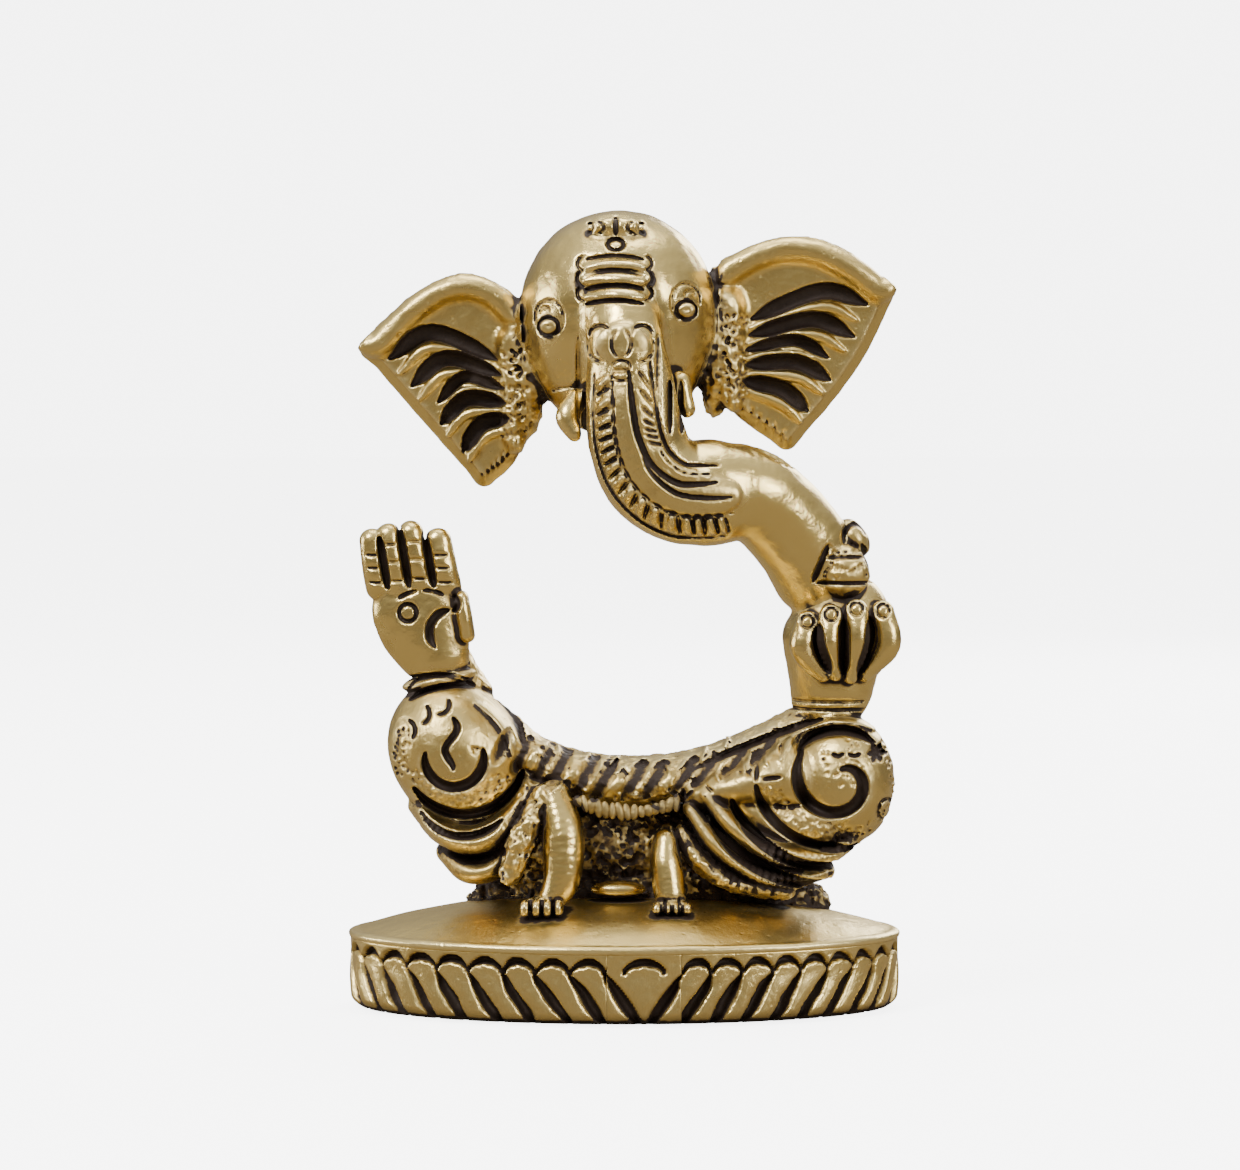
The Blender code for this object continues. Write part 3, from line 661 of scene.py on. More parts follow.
# %% Chasing the hands
for left, right in zip(raised_fingers[:3], raised_fingers[1:4]):
    feet = (xz(left, 0.3, -0.75) + xz(right, 0.3, -0.75)) / 2
    tips = (xz(left, -0.3, 0.95) + xz(right, -0.3, 0.85)) / 2
    chase([feet, (feet + tips) / 2, tips], 0.85, 1.2, taper=0.6)
for node in raised_fingers[:4]:
    for level in (-0.55, 0.0, 0.5):
        stroke(xz(node, -0.3 * level, level), (0.7, 0), 0.32, 0.3)
palm, palm_half = xz("raised_palm"), half_of("raised_palm")
ring(xz("raised_palm", -0.35, 0.5), palm_half[0] * 0.19, 0.45, 0.5)
hook_middle, hook_radius = xz("raised_palm", 0.6, 0.05), palm_half[0] * 0.48
chase(arc(hook_middle, hook_radius, 95, 225), 0.95, 0.85, taper=0.8)
chase(arc(hook_middle + (0, hook_radius * 1.3), hook_radius * 0.35, -80, 70), 0.6, 0.5)
for share in (-0.45, 0.25):
    chase(arc(palm, palm_half[2] * 1.02, 76 - 50 * share, 104 - 50 * share), 0.45, 0.45)
bangle, bangle_half = xz("left_bangle"), half_of("left_bangle")
for level, bend in ((-1.6, 0.75), (-0.2, 0.25)):
    chase(arc(bangle + (0, level * bangle_half[2]), bangle_half[0] * 0.88, 150, 32, bend), 0.5, 0.42)
for left, right in zip(holding_fingers, holding_fingers[1:]):
    middle_gap = (xz(left, 0, 0) + xz(right, 0, 0)) / 2
    foot_gap = (finger_foot(left) + finger_foot(right))[[0, 2]] / 2
    top_gap = (xz(left, 0, 0.55) + xz(right, 0, 0.55)) / 2
    chase([foot_gap, middle_gap, top_gap], 1.15, 1.3, taper=0.9)
for node in holding_fingers:
    ring(xz(node, 0, 0.72), 0.6, 0.28, 0.32)
for level in (-0.62, -0.5):
    chase([xz("right_forearm", x, level) for x in (-0.9, -0.3, 0.3, 0.9)], 0.5, 0.35)
sweet, sweet_half = xz("sweet"), half_of("sweet")[[0, 2]]
for level, reach in ((-0.75, 1.05), (0.35, 0.65)):
    chase([sweet + sweet_half * (x * reach, level) for x in (-1, 0, 1)], 0.45, 0.4, taper=0.3)
for side in (-1, 1):
    chase([sweet + sweet_half * (side * (0.95 - 0.35 * z), z) for z in (-0.7, 0.1, 0.9)], 0.7, 0.6)
for k in range(40):
    x, z = rng.uniform(-1, 1), rng.uniform(-0.7, 0.9)
    dot(sweet + sweet_half * (x * (0.8 - 0.3 * z), z), 0.4, 0.22)
chase(arc(xz("trunk_tip"), 1.1, 200, 20, 1.2), 0.45, 0.42)
print("chased so far, deepest cut in mm:", round(float(cut_map.max()), 2))

# %% [markdown]
# The knees carry scrolls, which are spirals, and the cloth below them falls in rolls whose edges are arcs
# round the knee. Punched dots fill the ground between scroll and edge.

# %% Chasing the cloth
def stipple(centre, inner, outer, start, end, count, squash=1.0):
    """Punched dots scattered over part of a ring round centre."""
    for turn, reach in zip(rng.uniform(start, end, count), rng.uniform(inner, outer, count)):
        dot(arc(centre, reach, turn, turn, squash, 1)[0], 0.36, 0.2)


def wave(top, length, swing):
    """A short wavy stroke that runs down from top."""
    along = np.linspace(0, 1, 13)
    sideways = swing * np.sin(along * 2.5 * np.pi) - 0.4 * along
    return top + np.stack([sideways, -length * along], axis=1)


left, left_half = xz("left_knee"), half_of("left_knee")
curl_size = left_half[0] * 0.44
chase(scroll(left, curl_size * 0.95, curl_size * 1.05, 170, 375), 1.15, 0.95, taper=0.7)
chase(wave(left + (0, curl_size * 1.35), curl_size * 1.75, curl_size * 0.17), 0.75, 0.8)
for turn in (105, 128, 151):
    chase(arc(on_circle(left, left_half[0] * 0.82, turn), 0.95, turn - 200, turn - 80), 0.45, 0.45)
chase(arc(left, left_half[2] * 0.98, 128, 75), 0.6, 0.5)
chase(arc(left - (1.2, 1.0), left_half[2] * 1.18, 62, 8), 0.8, 0.5, taper=0.5)
chase(arc(left - (1.2, 1.0), left_half[2] * 1.02, 62, 5), 0.9, -0.35)
for k, (drop, width, depth) in enumerate(((0.0, 1.15, 0.95), (2.7, 0.85, 0.7))):
    chase(arc(left + (1.0, 0.3 - drop), 5.7 - 0.8 * k, 215, 342 - 25 * k, 1.0), width, depth)
chase(arc(left + (1.0, -1.0), 5.9, 225, 330), 0.9, -0.3)
stipple(left + (0.6, 0.2), 3.5, 5.2, 200, 335, 170)
stipple(left, 4.2, 5.6, 150, 200, 50)
right, right_half = xz("right_knee"), half_of("right_knee")
curl = xz("right_knee", -0.05, 0.08)
chase(scroll(curl, right_half[0] * 0.2, right_half[0] * 0.86, 85, -215, 24), 1.3, 1.0, taper=0.6)
chase(arc(curl, right_half[0] * 0.92, 145, 48, 0.95), 1.0, 0.9)
chase(arc(curl, right_half[0] * 1.16, 160, 55, 0.92), 0.9, -0.35)
stipple(curl + (0.4, 1.6), 0.0, 2.2, 0, 360, 50)
stipple(curl, 4.7, 5.7, -80, 40, 60)
star = xz("right_knee", 0.62, 0.46)
for turn in range(0, 360, 60):
    chase([star, on_circle(star, 0.85, turn)], 0.65, 0.6)
for share in (-0.1, 0.2):
    chase(arc(xz("right_knee", share, 0.52), 0.7, 215, 325, 0.7), 0.4, 0.42)
ring(xz("right_knee", 0.8, -0.4), 0.75, 0.4, 0.35, squash=1.4)
for k in range(3):
    chase(arc(right + (-0.6 * k, 1.0 - 0.1 * k), 8.2 + 1.9 * k, 188 + 8 * k, 280 - 4 * k, 0.85),
          1.1 + 0.12 * k, 0.85)
stroke(xz("right_lap", 0.3, 0.05), (0.9, 0.1), 0.5, 0.45)
stroke(xz("right_lap", 0.05, 0.18), (0.1, 0.8), 0.5, 0.45)
seam_start, seam_end = xz("right_lap", -1.0, 0.2), xz("right_knee", -0.35, 0.95)
chase([*sweep(seam_start, (seam_start + seam_end) / 2 + (0.6, 0.6), seam_end, 4), seam_end], 0.8, 0.7)
stipple(right + (-1.0, 1.0), 5.0, 7.4, 190, 285, 220, 0.9)
for level in (-0.5, 0.2, 0.9):
    stipple(xz("left_hem", 0.2 * level, level * 0.7), 0.0, 1.1, 0, 360, 16)
for node, toes in (("left_toes", 4), ("right_toes", 3)):
    for k in range(1, toes):
        stroke(xz(node, -1 + 2 * k / toes, 0), (0, 0.7), 0.32, 0.4)

# %% [markdown]
# Across the crescent runs a row of slanting hollows, and the ground between them is a rough net. Their
# places come from the crescent's own path, one hollow for each step along it.

# %% Chasing the crescent
belt = smooth_path([xz("waist_crescent", x, z) for x, z in (
    (-0.8, 0.25), (-0.5, -0.2), (-0.1, -0.46), (0.35, -0.28), (0.78, 0.25))], 8)
for k, share in enumerate(np.linspace(0.06, 0.94, 12)):
    place = belt[int(share * (len(belt) - 1))]
    lean = np.array((-0.45 - 0.5 * share, -1.0))
    long = 1.4 - 0.5 * abs(share - 0.45)
    chase([place - lean * long, place, place + lean * long], 1.7 - 1.1 * abs(share - 0.45), 0.4, taper=0.3)
for k in range(90):
    place = belt[rng.integers(len(belt))] + rng.uniform(-1.9, 1.9, 2)
    chase([place, place + rng.uniform(-0.9, 0.9, 2)], 0.38, -0.28 if k % 2 else 0.3)
chased = int((cut_map > 0.02).sum() + (raised_map > 0.02).sum())
print("chased area in square mm:", round(chased * MAP_STEP**2))

# %% [markdown]
# Casting. All the forms are pressed into one distance field on a grid, but a block of the grid is worked
# only where the skin, or a joint between two forms, runs through it. Each form keeps its own share of the
# field as its own closed piece. Where a piece meets a smoother neighbour it dips a little under it, so no
# crack shows. OpenVDB then skins each piece with quads.

# %% Casting the pieces
FLOOR_SINK = 0.5  # how far the forms go into the plinth's top, in millimetres
CLAMP = 1.2  # distances are kept up to this
FAR = 9.0
MARGIN = 2.0  # how far past its own box a form is worked out
SKIN_BAND, JOINT_BAND = 1.9, 1.8  # a block is worked when the skin or a joint is this near its middle
TUCK = 0.7  # how far a piece reaches under its neighbour
cap_middle, cap_half = box_mm("plinth_cap")
RIM_HEIGHT = cap_middle[2] - cap_half[2] + 0.9
DOME_RISE = cap_middle[2] + cap_half[2] - RIM_HEIGHT


def dome_height(x, y):
    """The height of the plinth's polished top."""
    reach = np.hypot(x / cap_half[0], y / cap_half[1]).clip(0, 1)
    return RIM_HEIGHT + DOME_RISE * (1 - reach**2.6)


names = list(forms)
grid_low = np.min([s[1] for s, _, _ in forms.values()], axis=0) - 1
grid_low[2] = RIM_HEIGHT
grid_high = np.max([s[2] for s, _, _ in forms.values()], axis=0) + 1
blocks = np.ceil((grid_high - grid_low) / VOXEL / BLOCK).astype(int)
shape = blocks * BLOCK


def press(points):
    """The pressed field at points, each form's own distance there, and where it was worked out."""
    field = np.full(len(points), FAR)
    own = {}
    bumps = 0.09 * noise(points, 2.6) + 0.035 * noise(points, 0.9, 5.0)
    pores = noise(points, 0.55, 9.0) + 0.6 * noise(points, 0.3, 3.0)
    cut = read_map(cut_map, points) + read_map(hollow_map, points)
    raised = read_map(raised_map, points)
    for name, ((rule, low, high), blend, rough) in forms.items():
        near = np.flatnonzero(np.all((points > low - MARGIN) & (points < high + MARGIN), axis=1))
        if not len(near):
            continue
        distance, behind = rule(points[near])
        front = np.clip(0.5 - behind / 0.8, 0, 1)
        distance = distance + front * (cut[near] - raised[near]) + bumps[near] + rough * pores[near]
        own[name] = (near, distance.astype(np.float32))
        before = field[near]
        mix = np.clip(0.5 + 0.5 * (before - distance) / blend, 0, 1)
        field[near] = before * (1 - mix) + distance * mix - blend * mix * (1 - mix)
    field = np.maximum(field, dome_height(points[:, 0], points[:, 1]) - FLOOR_SINK - points[:, 2])
    return field.astype(np.float32), own


def best_two(count, own):
    """The nearest form's number, its distance, and the runner-up's distance."""
    first = np.full(count, FAR, dtype=np.float32)
    second = first.copy()
    owner = np.full(count, -1, dtype=np.int16)
    for number, name in enumerate(names):
        if name in own:
            near, distance = own[name]
            closer = distance < first[near]
            second[near] = np.where(closer, first[near], np.minimum(second[near], distance))
            first[near] = np.where(closer, distance, first[near])
            owner[near] = np.where(closer, number, owner[near])
    return owner, first, second


def lattice(counts):
    """Every place in a box of samples."""
    return np.stack(np.meshgrid(*[np.arange(n) for n in counts], indexing="ij"), -1).reshape(-1, 3)


def spread(values):
    """One value for each block, repeated for every sample in it."""
    for axis in range(3):
        values = np.repeat(values, BLOCK, axis)
    return values


middles = lattice(blocks)
coarse, coarse_own = press(grid_low + (middles + 0.5) * BLOCK * VOXEL)
coarse_owner, coarse_first, coarse_second = best_two(len(middles), coarse_own)
worked = (np.abs(coarse) < SKIN_BAND) | ((coarse < 0) & (coarse_second - coarse_first < JOINT_BAND))
cells = (middles[worked][:, None, :] * BLOCK + lattice([BLOCK] * 3)[None]).reshape(-1, 3)
field, own = press(grid_low + cells * VOXEL)
owner, first, second = best_two(len(cells), own)
print(f"worked {worked.sum()} of {len(worked)} blocks, {len(cells)} samples")
coarse, coarse_owner, worked = (values.reshape(blocks) for values in (coarse, coarse_owner, worked))
whole = spread(np.where(coarse < 0, -CLAMP, CLAMP).astype(np.float32))
whole[tuple(cells.T)] = np.clip(field, -CLAMP, CLAMP)


def skin(name):
    """The closed quads of one form's share of the field, in millimetres."""
    number = names.index(name)
    near, distance = own[name]
    apart = distance - np.where(owner[near] == number, second[near], first[near])
    value = np.maximum(field[near] + 0.3 * np.maximum(apart, 0), (apart - TUCK) * 0.5)
    place = cells[near]
    low_block, past_block = place.min(0) // BLOCK, place.max(0) // BLOCK + 1
    window = tuple(slice(a, b) for a, b in zip(low_block, past_block))
    solid = (coarse[window] < 0) & (coarse_owner[window] == number)
    dense = spread(np.where(solid, -CLAMP, CLAMP).astype(np.float32))
    dense[spread(worked[window])] = CLAMP
    low = low_block * BLOCK
    dense[tuple((place - low).T)] = np.clip(value, -CLAMP, CLAMP)
    grid = openvdb.FloatGrid(background=CLAMP)
    grid.copyFromArray(np.pad(dense, 1, constant_values=CLAMP), tolerance=0.0)
    points, quads = grid.convertToQuads(isovalue=0.0)
    return grid_low + (points + low - 1) * VOXEL, quads

# %% [markdown]
# Patina needs to know where a rag can reach. So each point of a skin looks outward a little way and asks
# how much metal is near: a groove is crowded, an edge stands free. The two answers are kept on the mesh as
# crevice and wear, and every finish below reads them.

# %% Finding grooves and edges
def look(points):
    """The field at points, with the plinth's top as ground."""
    over_cap = np.hypot(points[:, 0] / cap_half[0], points[:, 1] / cap_half[1]) < 0.98
    ground = np.where(over_cap, points[:, 2] - dome_height(points[:, 0], points[:, 1]), CLAMP)
    return np.minimum(read_grid(whole, ((points - grid_low) / VOXEL).clip(0, shape - 2.001)), ground)


def places_of(piece):
    """A piece's points, in millimetres."""
    places = np.empty(len(piece.data.vertices) * 3, np.float32)
    piece.data.vertices.foreach_get("co", places)
    return places.reshape(-1, 3) / MM


def move_points(piece, places):
    piece.data.vertices.foreach_set("co", (places * MM).astype(np.float32).ravel())


def close_up(mesh):
    """Fills the open ends and turns every face outwards."""
    bm = bmesh.new()
    bm.from_mesh(mesh)
    bmesh.ops.holes_fill(bm, edges=bm.edges)
    bmesh.ops.recalc_face_normals(bm, faces=bm.faces)
    bm.to_mesh(mesh)
    bm.free()


def plain_mesh(name, points, faces):
    """A smooth-shaded mesh object in metres, at the origin."""
    mesh = bpy.data.meshes.new(name)
    faces = np.asarray(faces)
    mesh.vertices.add(len(points))
    mesh.vertices.foreach_set("co", (np.asarray(points) * MM).astype(np.float32).ravel())
    mesh.loops.add(faces.size)
    mesh.loops.foreach_set("vertex_index", faces.astype(np.int32).ravel())
    mesh.polygons.add(len(faces))
    mesh.polygons.foreach_set("loop_start", np.arange(0, faces.size, faces.shape[1], dtype=np.int32))
    mesh.update(calc_edges=True)
    mesh.validate()
    mesh.shade_smooth()
    piece = bpy.data.objects.new(name, mesh)
    bpy.context.scene.collection.objects.link(piece)
    return piece


def keep_on_mesh(piece, name, values):
    layer = piece.data.attributes.new(name, "FLOAT", "POINT")
    layer.data.foreach_set("value", np.asarray(values, dtype=np.float32))


def feel_surface(piece, wear_share=1.0):
    """Stores crevice and wear, each 0 to 1, on a piece's points."""
    places = places_of(piece)
    normals = np.empty(places.size, np.float32)
    piece.data.vertex_normals.foreach_get("vector", normals)
    normals = normals.reshape(-1, 3)
    crowd = np.zeros(len(places))
    free = np.zeros(len(places))
    for reach, weight in ((0.3, 0.9), (0.6, 0.8), (1.1, 0.5)):
        ahead = look(places + normals * reach) / reach
        crowd += weight * np.clip(1 - ahead, 0, 1)
        free += weight * np.clip(look(places - normals * reach) / reach + 1, 0, 1)
    facing = np.clip(0.5 - normals[:, 1] * 2, 0, 1)
    crowd = np.maximum(crowd * 0.66, facing * np.clip(read_map(cut_map, places) * 1.7 - 0.12, 0, 0.85))
    keep_on_mesh(piece, "crevice", np.clip(crowd, 0, 1))
    keep_on_mesh(piece, "wear", np.clip(free * 0.8 * wear_share, 0, 1))


pieces = {}
for name in names:
    points, quads = skin(name)
    piece = plain_mesh("cast_" + name, points, quads)
    feel_surface(piece)
    pieces[name] = piece
print("cast pieces:", len(pieces), "quads:", sum(len(p.data.polygons) for p in pieces.values()))

# %% [markdown]
# The plinth's side is a ring of slanted petals, mirrored about an upright bud at the front and the back.
# One petal is shaped as a tile whose cut runs off one end and in at the other. Geometry Nodes lay nineteen
# tiles in a row and bend the row round the oval, so the number and the pitch stay easy to change.

# %% One petal tile
PETALS_PER_SIDE = 19
BUD_HALF = 3.4  # half the width of the piece that carries the bud
FOOT, WALL_TOP = 0.25, RIM_HEIGHT - 0.45
CUT_LOW, CUT_HIGH = 0.2, 4.9  # where the cuts between petals start and end
LEAN = 3.0  # how far a cut's top leans away from the bud
WALL = 2.9  # how far the wall's inner face lies behind its outer one
front_bud, _ = box_mm("front_bud")
half_wide, half_deep = cap_half[0] - 0.12, cap_half[1] - 0.12
angles = np.linspace(0, 2 * np.pi, 2001)
ring_length = np.hypot(np.diff(half_wide * np.cos(angles)), np.diff(half_deep * np.sin(angles))).sum()


def petal_depth(x, z, pitch, bud=False):
    """How deep the wall is cut at x along it and z up it. x is measured from the bud's middle."""
    rise = np.clip((z - CUT_LOW) / (CUT_HIGH - CUT_LOW), 0, 1)
    off = np.abs(x) - 0.5 - LEAN * rise
    off = np.where(off > pitch / 2, off - pitch, off) if bud else (off + pitch / 2) % pitch - pitch / 2
    width = 1.45 * np.sqrt(np.sin(np.pi * rise**0.75)) + 1e-6
    cut = 1.0 * np.clip(1 - (2 * off / width) ** 2, 0, 1) ** 0.7
    crown = np.abs(x) if bud else (np.abs(x) - 0.5 - LEAN + pitch) % pitch - pitch / 2
    wide = 1.9 if bud else pitch * 0.47
    around = np.hypot(crown / wide, (z - 4.95) / 1.05)
    thick = 0.42 * np.clip(1.25 - np.abs(crown) / wide, 0.2, 1)
    scallop = 0.85 * np.clip(1 - ((around - 1) / thick) ** 2, 0, 1) ** 0.7 * (z > 4.8)
    belly = 0.12 * np.cos(np.pi * np.clip(off / (pitch / 2), -1, 1)) * np.sin(np.pi * rise)
    foot_round = 0.9 * np.clip(1 - (z - FOOT) / 1.1, 0, 1) ** 2
    return np.maximum(cut, scallop) + foot_round + 0.05 + belly


def loop_faces(rows, around):
    """The faces between rows of points, where each row closes on itself."""
    return [(i * around + j, (i + 1) * around + j, (i + 1) * around + (j + 1) % around,
             i * around + (j + 1) % around) for i in range(rows - 1) for j in range(around)]


def wall_piece(name, xs, pitch, bud=False):
    """A stretch of the petal wall, flat, with its outer face at y = 0, and an inner face behind it."""
    zs = np.linspace(FOOT, WALL_TOP, 44)
    x, z = np.meshgrid(xs, zs, indexing="ij")
    depth = petal_depth(x, z, pitch, bud)
    outer = np.stack([x, -depth, z], -1)
    back = np.stack([x[:, :2], np.full((len(xs), 2), -WALL), np.tile((WALL_TOP, FOOT), (len(xs), 1))], -1)
    rows = np.concatenate([outer, back], axis=1)
    piece = plain_mesh(name, rows.reshape(-1, 3), loop_faces(*rows.shape[:2]))
    groove = np.concatenate([depth - 0.05, np.zeros((len(xs), 2))], axis=1)
    # low_foot makes the wall darker towards its bottom, over its lowest 0.6 mm. This adds to the darkening
    # that the foot's rounding already brings in as groove depth.
    low_foot = np.clip(1 - (rows[:, :, 2] - FOOT) / 0.6, 0, 1) * 0.5
    keep_on_mesh(piece, "crevice", np.clip(groove * 1.5 - 0.22 + low_foot * 0.5, 0, 0.85).ravel())
    keep_on_mesh(piece, "wear", np.clip(0.35 - groove * 2, 0, 0.3).ravel())
    return piece

# %% [markdown]
# The tree takes the tile, the number of petals, their pitch, and the oval. Points on a straight line carry
# the tiles; each point of the row is then moved to the place at its own length along the oval.

# %% The tree that bends a row round an oval
def new_tree(kind, name, inputs, outputs=(("Geometry", "Geometry"),)):
    """A node tree, its inputs' sockets and its outputs' sockets. An input may have a value of its own."""
    tree = bpy.data.node_groups.new(name, kind + "NodeTree")
    for label, socket_kind in outputs:
        tree.interface.new_socket(label, in_out="OUTPUT", socket_type="NodeSocket" + socket_kind)
    for label, socket_kind, *value in inputs:
        socket = tree.interface.new_socket(label, in_out="INPUT", socket_type="NodeSocket" + socket_kind)
        if value:
            socket.default_value = value[0]
    return tree, tree.nodes.new("NodeGroupInput").outputs, tree.nodes.new("NodeGroupOutput").inputs


def tools(tree):
    """Two short ways to add a node to a tree. Inputs are values or sockets, and one output comes back."""
    def make(kind, inputs=None, out=0, **settings):
        node = tree.nodes.new(kind)
        for key, value in settings.items():
            setattr(node, key, value)
        for target, source in (inputs or {}).items():
            if isinstance(source, bpy.types.NodeSocket):
                tree.links.new(source, node.inputs[target])
            else:
                node.inputs[target].default_value = source
        return node.outputs[out]

    def reckon(operation, *values, kind="ShaderNodeMath"):
        return make(kind, dict(enumerate(values)), operation=operation)

    return make, reckon


petal_tree, given, result = new_tree("Geometry", "petal_ring", [
    ("Geometry", "Geometry"), ("Tile", "Object"), ("Petals", "Int"), ("Pitch", "Float"), ("Start", "Float"),
    ("Way", "Float"), ("Oval", "Vector"), ("Finish", "Material")])
make, reckon = tools(petal_tree)
tile_shape = make("GeometryNodeObjectInfo", {"Object": given["Tile"]}, "Geometry")
pitch_vector = make("ShaderNodeCombineXYZ", {"X": given["Pitch"]})
tile_scale = make("ShaderNodeCombineXYZ", {"X": given["Pitch"], "Y": 1.0, "Z": 1.0})
line = make("GeometryNodeMeshLine", {"Count": given["Petals"], "Offset": pitch_vector})
laid = make("GeometryNodeInstanceOnPoints", {"Points": line, "Instance": tile_shape, "Scale": tile_scale})
real = make("GeometryNodeRealizeInstances", {"Geometry": laid})
joined = make("GeometryNodeMergeByDistance", {"Geometry": real, "Distance": 0.000003})
circle = make("GeometryNodeCurvePrimitiveCircle", {"Resolution": 256, "Radius": 1.0})
oval = make("GeometryNodeTransform", {"Geometry": circle, "Scale": given["Oval"]})
whole_way = make("GeometryNodeCurveLength", {"Curve": oval})
where = make("GeometryNodeInputPosition")
flat_place = make("ShaderNodeSeparateXYZ", {"Vector": where}).node.outputs
along_row = reckon("MULTIPLY", flat_place["X"], given["Way"])
waver = make("ShaderNodeTexNoise", {"Vector": where, "Scale": 340.0, "Detail": 1.0})
hand_cut = reckon("MULTIPLY_ADD", reckon("ADD", waver, -0.5), 0.001, along_row)
wrapped = reckon("WRAP", reckon("ADD", hand_cut, given["Start"]), whole_way, 0.0)
sample = make("GeometryNodeSampleCurve", {"Curves": oval, "Length": wrapped}, mode="LENGTH").node.outputs
outward = reckon("CROSS_PRODUCT", sample["Tangent"], (0.0, 0.0, 1.0), kind="ShaderNodeVectorMath")
stand_off = make("ShaderNodeVectorMath", {0: outward, "Scale": flat_place["Y"]}, operation="SCALE")
height = make("ShaderNodeCombineXYZ", {"Z": flat_place["Z"]})
on_oval = reckon("ADD", sample["Position"], stand_off, kind="ShaderNodeVectorMath")
lifted = reckon("ADD", on_oval, height, kind="ShaderNodeVectorMath")
bent = make("GeometryNodeSetPosition", {"Geometry": joined, "Position": lifted})
finished = make("GeometryNodeSetMaterial", {"Geometry": bent, "Material": given["Finish"]})
petal_tree.links.new(finished, result[0])


def run_tree(name, tree, values):
    """Runs a tree on an empty object, and returns the result as a plain closed mesh object."""
    maker = bpy.data.objects.new(name, bpy.data.meshes.new(name))
    bpy.context.scene.collection.objects.link(maker)
    modifier = maker.modifiers.new("nodes", "NODES")
    modifier.node_group = tree
    for item in tree.interface.items_tree:
        if item.in_out == "INPUT" and item.name in values:
            modifier[item.identifier] = values[item.name]
    depsgraph = bpy.context.evaluated_depsgraph_get()
    mesh = bpy.data.meshes.new_from_object(maker.evaluated_get(depsgraph))
    maker.modifiers.clear()
    maker.data = mesh
    close_up(mesh)
    mesh.shade_smooth()
    return maker


print("petal tree:", len(petal_tree.nodes), "nodes")

# %% [markdown]
# Finishes. A shader group holds each effect that several finishes share: the patina that stays in grooves,
# the grain of the cast skin, and the fine streaks that polishing leaves. A finish then only picks its
# colours and how strong each effect is.

# %% Shader groups
def clouds(make, scale, detail, roughness=0.5, stretch=(1.0, 1.0, 1.0)):
    """Cloudy values that are fixed to the piece."""
    place = make("ShaderNodeTexCoord", out="Object")
    drawn = make("ShaderNodeMapping", {"Vector": place, "Scale": stretch})
    return make("ShaderNodeTexNoise", {
        "Vector": drawn, "Scale": scale, "Detail": detail, "Roughness": roughness})


patina_group, given, result = new_tree("Shader", "groove_patina", [
    ("Crevice", "Float", 0.0), ("Amount", "Float", 1.0), ("Start", "Float", 0.3)],
    [("Mask", "Float"), ("Smoke", "Float")])
make, reckon = tools(patina_group)
blotches = reckon("ADD", clouds(make, 1400.0, 4.0, 0.65), clouds(make, 260.0, 3.0, 0.6))
centred = reckon("MULTIPLY_ADD", blotches, 0.56, -0.56)
level = reckon("ADD", reckon("MULTIPLY", given["Crevice"], given["Amount"]), centred)
top = reckon("ADD", given["Start"], 0.22)
for label, foot in (("Mask", given["Start"]), ("Smoke", reckon("ADD", given["Start"], -0.3))):
    mask = make("ShaderNodeMapRange", {"Value": level, "From Min": foot, "From Max": top},
                interpolation_type="SMOOTHSTEP")
    patina_group.links.new(mask, result[label])

grain_group, given, result = new_tree(
    "Shader", "cast_grain", [("Pores", "Float", 0.5)], [("Height", "Float")])
make, reckon = tools(grain_group)
pits = make("ShaderNodeTexVoronoi", {"Vector": make("ShaderNodeTexCoord", out="Object"), "Scale": 1100.0})
pit_shape = make("ShaderNodeMapRange", {"Value": pits, "From Max": 0.25, "To Min": -1.0, "To Max": 0.0})
pit_depth = reckon("MULTIPLY", pit_shape, given["Pores"])
swell = reckon("MULTIPLY_ADD", clouds(make, 620.0, 2.0), 3.0, clouds(make, 2600.0, 5.0, 0.7))
grain_group.links.new(reckon("ADD", swell, pit_depth), result["Height"])

streak_group, given, result = new_tree(
    "Shader", "polish_streaks", [("Strength", "Float", 0.1)], [("Value", "Float")])
make, reckon = tools(streak_group)
lines = clouds(make, 600.0, 3.0, stretch=(0.25, 1.0, 2.4))
streak_group.links.new(reckon("MULTIPLY", lines, given["Strength"]), result["Value"])
print("shader groups:", [group.name for group in (patina_group, grain_group, streak_group)])

# %% [markdown]
# Each finish mixes colours of the same metal: brightest on edges that a rag has rubbed, brown where it has
# only dulled, and nearly black in the grooves, where the surface also stops being mirror-like.

# %% The brass finishes
RUBBED = (0.86, 0.69, 0.31, 1)  # edges that a rag has polished
BLACKENED = (0.03, 0.018, 0.012, 1)  # the floor of a groove
finishes = {}


def brass(name, bright, dull, patina_amount, patina_start, roughness, pores, bump):
    material = bpy.data.materials.new(name)
    material.use_nodes = True
    tree = material.node_tree
    make, reckon = tools(tree)

    def mix(share, below, above):
        return make("ShaderNodeMix", {0: share, 6: below, 7: above}, 2, data_type="RGBA")

    crevice, wear = (make("ShaderNodeAttribute", out="Fac", attribute_name=a) for a in ("crevice", "wear"))
    patina = make("ShaderNodeGroup", {"Crevice": crevice, "Amount": patina_amount, "Start": patina_start},
                  node_tree=patina_group).node.outputs
    rubbed = mix(wear, mix(patina["Smoke"], (*bright, 1), (*dull, 1)), RUBBED)
    gloss = make("ShaderNodeMapRange", {"Value": patina["Smoke"], "To Min": roughness, "To Max": 0.6})
    streaks = make("ShaderNodeGroup", {"Strength": 0.08}, node_tree=streak_group)
    grain = make("ShaderNodeGroup", {"Pores": pores}, node_tree=grain_group)
    surface = {
        "Base Color": mix(patina["Mask"], rubbed, BLACKENED),
        "Metallic": make("ShaderNodeMapRange", {"Value": patina["Mask"], "To Min": 1.0, "To Max": 0.35}),
        "Roughness": reckon("ADD", gloss, streaks),
        "Normal": make("ShaderNodeBump", {"Strength": bump, "Distance": 0.00006, "Height": grain}),
    }
    for label, socket in surface.items():
        tree.links.new(socket, tree.nodes["Principled BSDF"].inputs[label])
    finishes[name] = material


